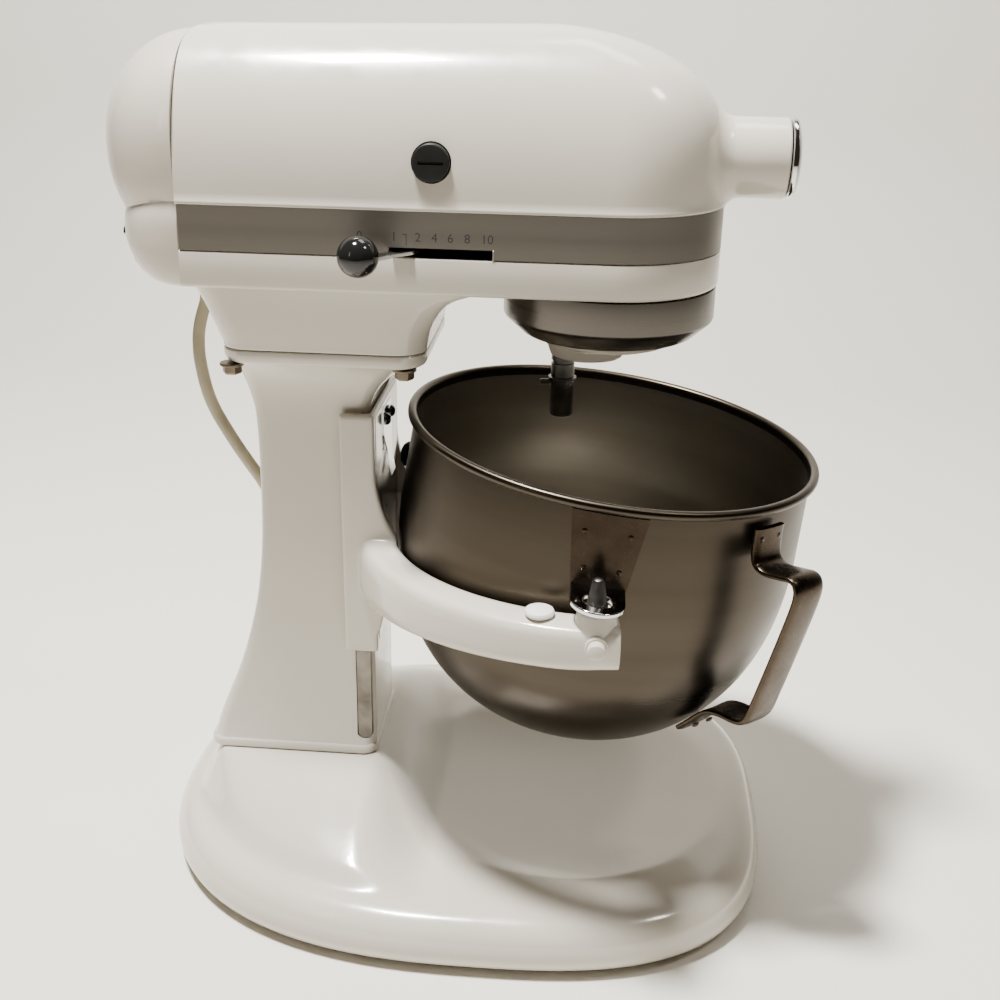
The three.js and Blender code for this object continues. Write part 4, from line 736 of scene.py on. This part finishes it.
# ---- Column and base --------------------------------------------------------
def column():
    lip = [(COLUMN_FOOT, -204.4, -113.6, 33.1, 8), (COLUMN_FOOT + 0.6, -205, -113.1, 33.6, 8),
           (COLUMN_FOOT + 3.4, -205, -113.1, 33.6, 8), (COLUMN_FOOT + 4.4, -204.6, -113.4, 33.2, 7.6),
           (COLUMN_FOOT + 5, -203.6, COLUMN_FRONT, 32.4, 7)]
    shaft = [(64, -203, COLUMN_FRONT, 32.1, 7), (74, -200, COLUMN_FRONT, 31.1, 6.5),
             (90, -193.5, COLUMN_FRONT, COLUMN_HALF, 6), (108, -186.3, COLUMN_FRONT, COLUMN_HALF, 6),
             (128, -180.2, COLUMN_FRONT, COLUMN_HALF, 6), (150, -175.2, COLUMN_FRONT, COLUMN_HALF, 6),
             (180, -171.6, COLUMN_FRONT, COLUMN_HALF, 6), (220, -170.4, COLUMN_FRONT, COLUMN_HALF, 6),
             (246, -170.8, -113.8, COLUMN_HALF, 6), (256, -172.4, -112.6, 31, 6.5),
             (263, -174.4, -109, 32.2, 8), (269, -176.6, -103.4, 34.4, 10), (274, -178.4, -97.6, 37.6, 12),
             (277.6, -179.4, -93, 41, 13)]
    rear, front, half, corner = FLANGE
    edge = ((277.6, 3.4), (277.9, 2), (278.8, 0.9), (280, 0.3), (281.6, 0), (SEAM_Z - 1, 0),
            (SEAM_Z - 0.4, 0.4), (SEAM_Z - 0.25, 1.2))
    flange = [(z, rear + inset, front - inset, half - inset, corner - inset / 2) for z, inset in edge]
    rings = [rounded_ring(*row) for row in lip + list(spline(shaft, 6)) + flange]
    body = loft("look_column", rings, ENAMEL, 35)
    for side in (-1, 1):
        outline = [(RAIL_X - 4.2, 250.5), *arc((RAIL_X, 70.2), 4.2, 180, 360, 16), (RAIL_X + 4.2, 250.5)]
        groove = [[(x, side * y, z) for x, z in outline] for y in (27.4, 34)]
        carve(body, loft("groove", groove, ENAMEL), sharp=35)
    stands_for(body, "stand", "enamel")
    for i, (x, y) in enumerate(SCREWS):
        disc = [(0, 0), (5.6, 0), (5.8, -0.3), (5.8, -1), (5.5, -1.3), (0, -1.3)]
        washer = turned(f"look_flange_screw_{i + 1}", disc, SCREW, (x, y, SCREW_TOP), "z", 48)
        hexagon = [(0, -1.2), (4.8, -1.2), (4.8, -4.6), (4, -5.4), (0, -5.4)]
        head = turned("screw_head", hexagon, SCREW, (x, y, SCREW_TOP), "z", 6, 20)
        soften(head, 0.35)
        stands_for(merge(washer, head), "stand", "steel")


def base_outline(angle, inset):
    """The base's outline from above, drawn in by inset."""
    x, y = power_round(angle, np.where(np.cos(angle) >= 0, 2.9, 2.35))
    reach = np.where(x >= 0, BASE_FRONT, BASE_REAR) - inset
    return BASE_MIDDLE + reach * x, (BASE_HALF - inset) * y


def ease(low, high, value):
    """Runs smoothly from 0 at low to 1 at high."""
    t = np.clip((value - low) / (high - low), 0, 1)
    return t * t * (3 - 2 * t)


def deck(x, y, edge):
    """The deck's height: a dish under the bowl and a hill that rises to the column's foot."""
    bowl_side = 1 - ((x - DISH_X) ** 2 + y ** 2) / DISH_R ** 2
    dish = 0.5 * (bowl_side + np.sqrt(bowl_side ** 2 + 0.0012))
    beyond = np.maximum(0, np.maximum(x - (COLUMN_FRONT + 1), -206 - x))
    foot = np.hypot(beyond, np.maximum(0, np.abs(y) - 34))
    near = edge / (edge + foot + 1e-6)
    ahead = 1 - ease(COLUMN_FRONT - 3, COLUMN_FRONT + 36, x)
    return DECK - DISH_DEPTH * dish + CROWN * (1 - (1 - near) ** 1.7) * ahead


def base():
    sides = 240
    angles = circle(sides)
    rings = []
    for inset, z in [(60, 8), (14, 8), (11, 7.4), (9.4, 5), (8, 3.2), (5.5, 3)]:
        x, y = base_outline(angles, inset)
        rings.append(np.stack([x, y, np.full(sides, float(z))], 1))
    for inset, z in [(3.2, 3.6), (1.5, 5.2), (0.4, 8), (0, 11.5), (0.1, 14.5), (0.8, 18), (2.2, 21.4),
                     (4.2, 24.2), (7, 26.6), (11, 28.4)]:
        x, y = base_outline(angles, inset)
        rings.append(np.stack([x, y, np.full(sides, z + 0.3)], 1))
    x0, y0 = base_outline(angles, 11)
    for part in np.linspace(0.03, 0.985, 60):
        x, y = x0 + (-75 - x0) * part, y0 * (1 - part)
        rim = deck(x, y, np.hypot(x0 + 75, y0) * part)
        settle_in = ease(0, 0.12, part)
        rings.append(np.stack([x, y, rim * settle_in + 29.2 * (1 - settle_in)], 1))
    body = loft("look_base", rings, ENAMEL, 50)
    for x, y in [(-185, -70), (-185, 70), (35, -85), (35, 85), (-205, 0)]:
        merge(body, turned("foot_boss", [(0, 9), (13, 9), (13, 3.4), (12.6, 3), (0, 3)], ENAMEL, (x, y, 0),
                           "z", 40))
    stands_for(body, "stand", "enamel")


def lift_lever():
    x, z, y, length = -143, 178, 46, 78
    outline = arc((0, 0), 9, 180, 360, 20) + arc((0, length), 5.5, 0, 180, 14)
    rings = [[(x + a, y + depth, z + b) for a, b in outline] for depth in (-3, 3)]
    bar = loft("look_lift_lever", rings, CHROME)
    soften(bar, 1)
    shaft = turned("lever_shaft", [(0, 12), (6, 12), (6, 50), (5, 51), (0, 51)], CHROME, (x, 0, z), "y", 48)
    bush = turned("lever_bush", [(6.2, 30.6), (9.4, 30.6), (9.4, 33), (8.6, 33.8), (6.2, 33.8)], CHROME,
                  (x, 0, z), "y", 48, closed=True)
    stands_for(merge(bar, shaft, bush), "lift_control", "chrome")
    profile = [(0, 0)] + list(map(tuple, spline([(6, 0.2), (8.4, 2.4), (9.4, 10), (8.8, 19), (6.4, 24),
            (2.5, 26), (0.01, 26)], 5)))
    knob = turned("look_lift_knob", profile, GLOSS_BLACK, (x, y + 3.4, z + length), "y", 56)
    stands_for(knob, "lift_control", "black_gloss")


column()
base()
lift_lever()


# ---- Bowl support -----------------------------------------------------------
def arm_rings(side):
    rings = []
    start = math.radians(195)
    end = math.radians(270) + math.asin((ARM_END - ARM_X) / ARM_OUTER)
    for t in np.linspace(0, 1, 40):
        angle = side * (start + (end - start) * t)
        top = ARM_TOP - 4 * (1 - t) ** 2
        bottom = 168.6 - 16 * (1 - t) ** 2 + 1.5 * float(ease(0.85, 1, t))
        c, s = power_round(circle(32), 3.6)
        radius = (ARM_INNER + ARM_OUTER) / 2 + (ARM_OUTER - ARM_INNER) / 2 * c
        height = (top + bottom) / 2 + (top - bottom) / 2 * s
        rings.append(np.stack([ARM_X + radius * math.cos(angle), radius * math.sin(angle), height], 1))
    return rings


def bowl_support():
    back = block("look_bowl_support", (-113.4, -110.4), (-CHANNEL_OUTER, CHANNEL_OUTER), CHANNEL_Z, ENAMEL)
    pieces = []
    for side in (-1, 1):
        wall = sorted((side * CHANNEL_INNER, side * CHANNEL_OUTER))
        pieces.append(block("flange", (-127.5, -110.4), wall, CHANNEL_Z, ENAMEL))
        pieces.append(loft("arm", arm_rings(side), ENAMEL))
        web = [(-112, 128), (-112, 248)] + list(map(tuple, spline([(-111, 246), (-110.8, 230), (-109.4, 214),
                (-105.6, 199), (-100, 187)], 5)))
        web += [(-97, 164), (-102, 158), (-106, 150), (-108.4, 138)]
        rings = [[(x, side * y, z) for x, z in web] for y in (CHANNEL_INNER, CHANNEL_OUTER)]
        pieces.append(loft("gusset", rings, ENAMEL))
    for piece in pieces:
        carve(back, piece, how="UNION")
    remesh(back, 0.9, 4)
    for side in (-1, 1):
        pad = turned("pin_pad", [(0, 184), (10.2, 184), (10.2, 187), (9.4, 190.5), (9, 194), (8.6, 195.6),
                (8, PAD_TOP), (0, PAD_TOP)], ENAMEL, (PIVOT[0], side * (PIVOT[1] + 0.5), 0), "z", 64)
        face = side * (math.sqrt(ARM_OUTER ** 2 - (STUD_X - ARM_X) ** 2) - 0.2)
        boss = turned("stud_boss", [(0, side * -4), (5.2, side * -4), (5.2, side * 0.6), (4.6, side * 1.2),
                (0, side * 1.2)], ENAMEL, (STUD_X, face, STUD_Z), "y", 48)
        merge(back, pad, boss)
    stands_for(back, "bowl_carrier", "enamel")


def carrier_face():
    plate = block("carrier_face", (-110.6, -110.1), (-30.8, 30.8), (128, 250), POLISHED)
    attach(plate, "bowl_carrier")


def arm_fittings():
    for side, name in ((-1, "near"), (1, "far")):
        pin = [(0, -9), (2.6, -9), (2.6, 0.2), (4.8, 0.2), (4.8, 2.6), (4.5, 3.4), (2.7, 13.4), (2.2, 14.4),
               (1.2, 15), (0, 15)]
        pin = turned(f"look_locating_pin_{name}", pin, DARK_STEEL, (PIVOT[0], side * PIVOT[1], PAD_TOP), "z",
                     48)
        stands_for(pin, "bowl_carrier", "steel")
        face = math.sqrt(ARM_OUTER ** 2 - (STUD_X - ARM_X) ** 2)
        stud = [(0, -5), (2, -5), (2, 1), (3.9, 1), (4.1, 1.6), (4.1, 4), (3.6, 5), (2.6, 5.4), (0, 5.5)]
        stud = turned(f"look_pin_stud_{name}", [(r, side * h) for r, h in stud], ENAMEL,
                      (STUD_X, side * face, STUD_Z), "y", 48)
        stands_for(stud, "bowl_carrier", "enamel")
        bumper = [(0, -7.5), (2.2, -7.5), (2.2, -0.6), (5.6, 0.1), (6.5, 0.9), (6.7, 1.8), (6.2, 2.8),
                  (4.6, 3.6), (0, 3.9)]
        bumper = turned(f"look_arm_bumper_{name}", bumper, NYLON, (BUMPER_X, side * BUMPER_Y, ARM_TOP), "z",
                        56)
        stands_for(bumper, "bowl_carrier", "nylon")


def latch():
    curve = spline([(-110, 247), (-109.9, 240), (-109.6, 231), (-108.6, 219), (-107.7, 212.6),
                    (-107.3, 210)], 6)
    rings = []
    for x, z in curve:
        half = 11.6 - 5.6 * float(ease(236, 222, z))
        rings.append([(x - 0.35, -half, z), (x + 0.35, -half, z), (x + 0.35, half, z), (x - 0.35, half, z)])
    stands_for(loft("look_latch_spring", rings, CHROME), "bowl_carrier", "steel")
    for i, y in enumerate((-LATCH_SCREW_Y, LATCH_SCREW_Y)):
        head = [(0, 2.6), (1.4, 2.5), (2.5, 1.8), (3.1, 0.8), (3.2, 0), (1.4, 0), (1.4, -4), (0, -4)]
        screw = turned(f"look_latch_screw_{i + 1}", head, GLOSS_BLACK, (-109.2, y, LATCH_SCREW_Z), "x", 40)
        slot_z = (LATCH_SCREW_Z - 0.4, LATCH_SCREW_Z + 0.4)
        carve(screw, block("driver", (-107.6, -106), (y - 2.4, y + 2.4), slot_z, MATT_BLACK))
        stands_for(screw, "bowl_carrier", "black_gloss")


bowl_support()
carrier_face()
arm_fittings()
latch()


# ---- Bowl -------------------------------------------------------------------
def tilt(piece):
    """Takes a piece drawn about the rim's centre to its leaning place on the pins."""
    lean = Matrix.Rotation(TILT, 4, "Y")
    pivot = Vector(place((PIVOT[0], 0, PIVOT[2])))
    centre = Vector(place((0, 0, 0)))
    piece.data.transform(Matrix.Translation(pivot) @ lean @ Matrix.Translation(Vector((0, 0,
            RIM_ABOVE_PIVOT * MM)) - centre))
    return piece


def wall_radius(depth):
    """The bowl's outer radius at a depth below the rim."""
    if depth < MID_DEPTH:
        return WALL_TOP + (WALL_MID - WALL_TOP) * depth / MID_DEPTH
    t = min(1.0, (depth - MID_DEPTH) / (BOWL_DEPTH - MID_DEPTH))
    return WALL_MID * (1 - t ** BOWL_POWER) ** (1 / BOWL_POWER)


def wall_profile(offset, steps=36):
    """The bowl's section from under the rim to the middle of its floor, drawn in by offset."""
    points = [(wall_radius(d) - offset, -d) for d in (3, 15, 30, MID_DEPTH)]
    for turn in np.linspace(0, math.pi / 2, steps)[1:-1]:
        c, s = power_round(turn, BOWL_POWER)
        points.append(((WALL_MID - offset) * float(c),
                       -MID_DEPTH - (BOWL_DEPTH - MID_DEPTH - offset) * float(s)))
    return points + [(0, -BOWL_DEPTH + offset)]


def bowl():
    bead = arc((WALL_TOP + 1.5, 0), BEAD, 190, -130, 18)
    profile = wall_profile(BOWL_WALL)[::-1] + bead + wall_profile(0)
    body = turned("look_bowl", profile, BOWL_PAINTED_REFLECTION, sides=160, sharp=50)
    body.data.materials.append(BOWL_INSIDE)
    # Outer faces keep the darker copy of the steel, painted reflection; inner faces and the floor's top take
    # the lighter copy.
    for face in body.data.polygons:
        outward = (face.center.x - AXIS_X) * face.normal.x + face.center.y * face.normal.y
        facing_up = abs(face.center.x - AXIS_X) + abs(face.center.y) < 0.02 and face.normal.z > 0
        face.material_index = 1 if face.center.z < -3.5 * MM and (outward < 0 or facing_up) else 0
    tilt(body)
    stands_for(body, "mixing_bowl", "bowl_steel")


def strap_rings(line, width, thickness, turn, crown=0.7):
    """Rings of a rounded strap along a line of (radius, height) points in the plane at angle turn."""
    line = np.asarray(line, float)
    ahead = np.gradient(line, axis=0)
    ahead /= np.linalg.norm(ahead, axis=1)[:, None]
    rings = []
    for (radius, height), (dr, dz) in zip(line, ahead):
        ring = []
        c, s = power_round(circle(28), 5)
        for across, out in zip(c * width / 2, s * thickness / 2):
            bow = crown * (1 - (2 * across / width) ** 2)
            r = radius - dz * (out + bow)
            ring.append((r * math.cos(turn) - across * math.sin(turn),
                         r * math.sin(turn) + across * math.cos(turn), height + dr * (out + bow)))
        rings.append(ring)
    return rings


def handle():
    line = [(103.6, -7.5), (103.9, -13), (105, -20), (107.4, -24.2), (113, -25.6), (121, -24), (127, -22.8),
            (130.3, -25), (131.4, -31), (129.9, -45), (126.6, -68), (123.8, -86), (122, -96.5),
            (119.4, -100.8), (114.5, -102.6), (107, -103.6), (100.5, -105.8), (96, -109.6), (90.6, -116.6),
            (85, -123.6)]
    bar = loft("look_bowl_handle", strap_rings(spline(line, 5), 20, 2.9, HANDLE_TURN), HANDLE_PAINTED_REFLECTION, 60)
    for across, radius, height, out in ((-6, 105.2, -12.5, 0), (6, 105.2, -12.5, 0), (-5, 92.6, -119, 0.8),
            (5, 92.6, -119, 0.8)):
        rivet = turned("rivet", [(1.9 * math.sin(a), 0.9 * math.cos(a)) for a in np.linspace(0, math.pi, 9)],
                       HANDLE_PAINTED_REFLECTION, (0, 0, 0), "x", 24)
        c, s = math.cos(HANDLE_TURN), math.sin(HANDLE_TURN)
        rivet.data.transform(Matrix.Translation(Vector((-AXIS_X, 0, 0))))
        rivet.data.transform(Matrix.Rotation(0.72 * out, 4, "Y"))
        rivet.data.transform(Matrix.Rotation(HANDLE_TURN, 4, "Z"))
        spot = Vector(place((radius * c - across * s, radius * s + across * c, height)))
        rivet.data.transform(Matrix.Translation(spot))
        merge(bar, rivet)
    stands_for(tilt(bar), "mixing_bowl", "bowl_steel")


def ear(side, name):
    """A plate that hugs the wall and turns out into a round-ended tongue with a hole for the pin."""
    level = -RIM_ABOVE_PIVOT
    rows = []
    for depth in np.linspace(2.8, -level + 1.2, 14):
        half_angle = (16.6 - 4.6 * (depth - 5.5) / 33.7) / WALL_TOP
        row = [(math.sin(a) * (wall_radius(depth) + g), math.cos(a) * (wall_radius(depth) + g), -depth)
               for g, span in ((0.15, np.linspace(-1, 1, 21)), (1.7, np.linspace(1, -1, 21)))
               for a in span * half_angle]
        rows.append(row)
    plate = loft(f"look_bowl_ear_{name}", rows, EAR_PAINTED_REFLECTION, 40)
    outer = arc((0, PIVOT[1]), 12.3, 0, 180, 32) + [(-12.3, 101.4), (12.3, 101.4)]
    tongue = loft("tongue", [[(x, y, level + h) for x, y in outer] for h in (-1.2, 1.2)], CHROME)
    hole = turned("hole", [(0, level - 5), (6.5, level - 5), (6.5, level + 5), (0, level + 5)], CHROME,
                  (0, PIVOT[1], 0), "z", 56)
    carve(tongue, hole)
    soften(tongue, 0.7)
    merge(plate, tongue)
    for x, depth in ((-10, 12), (10, 12), (-7.8, 29), (7.8, 29)):
        y = math.sqrt((wall_radius(depth) + 1.55) ** 2 - x ** 2)
        spot = turned("weld", [(1.5 * math.sin(a), 0.45 * math.cos(a)) for a in np.linspace(0, math.pi, 7)],
                      EAR_PAINTED_REFLECTION, (x, y, -depth), "y", 20)
        merge(plate, spot)
    if side < 0:
        plate.data.transform(Matrix.Translation((AXIS_X, 0, 0)) @ Matrix.Rotation(math.pi, 4,
                "Z") @ Matrix.Translation((-AXIS_X, 0, 0)))
    stands_for(tilt(plate), "mixing_bowl", "chrome")


def rear_hook():
    depth = 29
    profile = [(0, 0), (2.4, 0.15), (4.6, 1), (6.2, 2.6), (6.9, 4.6), (7, 6), (7, 9), (0, 9)]
    hook = turned("look_bowl_rear_hook", profile, MATT_BLACK, (-wall_radius(depth) - 4.2, 0, -depth), "x",
                  56)
    clear = turned("clear", [(0, 10), (WALL_TOP + 0.3, 10)] + wall_profile(-0.25), MATT_BLACK, sides=160)
    carve(hook, clear)
    stands_for(tilt(hook), "mixing_bowl", "black_plastic")


bowl()
handle()
ear(-1, "near")
ear(1, "far")
rear_hook()


# ---- CAD nodes that keep their own shape ---------------------------------------
def dress_nodes():
    looks = {
        RAIL: ["rail_near", "rail_far"],
        RUBBER: [f"foot_{i}" for i in range(1, 6)],
        IRON: ["stator", "ring_gear"],
        COPPER: ["armature"],
        BRONZE: ["worm_wheel"],
        STEEL: ["centre_shaft", "hub_drive", "planet_pinion"],
        CARBON: ["carbon_brush_near", "carbon_brush_far"],
    }
    for material, names in looks.items():
        for name in names:
            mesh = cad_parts[name].data
            mesh.materials.clear()
            mesh.materials.append(material)


dress_nodes()


# ---- Stage and light ----------------------------------------------------------
def stage():
    width = 4000
    bend, radius = 850, 300
    curve = [(bend + radius * math.sin(a), radius - radius * math.cos(a))
             for a in np.linspace(0.1, math.pi / 2, 16)]
    profile = [(-1500, 0), (bend, 0), *curve, (bend + radius, 2200)]
    rings = [[(x, y, z) for y, z in profile] for x in (-width / 2, width / 2)]
    count = len(profile)
    faces = [(j, j + 1, count + j + 1, count + j) for j in range(count - 1)]
    paint = Paint("pale_stage", (0.80, 0.77, 0.70), 0.6)
    paint.rough(paint.noise(3), 0.5, 0.7)
    floor = build("stage", np.reshape(rings, (-1, 3)), faces, paint.material, 60)


def area_light(name, position, target, size, power, color):
    data = bpy.data.lights.new(name, "AREA")
    data.shape = "RECTANGLE"
    data.size, data.size_y = size
    data.energy = power
    data.color = color
    lamp = add_object(name, data)
    lamp.location = position
    lamp.rotation_euler = (Vector(target) - Vector(position)).to_track_quat("-Z", "Y").to_euler()


def lights():
    area_light("overhead", (-0.3, -0.16, 1.65), (-0.05, -0.05, 0.1), (0.2, 0.2), 84, (1, 0.985, 0.96))
    area_light("key", (0.85, -0.25, 1.45), (0, 0, 0.15), (0.2, 0.2), 5, (1, 0.94, 0.86))
    area_light("rear", (0.25, 0.45, 1.7), (0, 0.1, 0.2), (0.6, 0.4), 6, (1, 0.97, 0.94))
    area_light("accent", (-0.8, -1.1, 0.8), (0, 0, 0.2), (0.1, 0.45), 0.8, (1, 0.86, 0.7))
    world = bpy.data.worlds.new("world")
    bpy.context.scene.world = world
    world.use_nodes = True
    background = world.node_tree.nodes["Background"]
    background.inputs["Color"].default_value = (0.62, 0.49, 0.35, 1)
    background.inputs["Strength"].default_value = 0.05


stage()
lights()
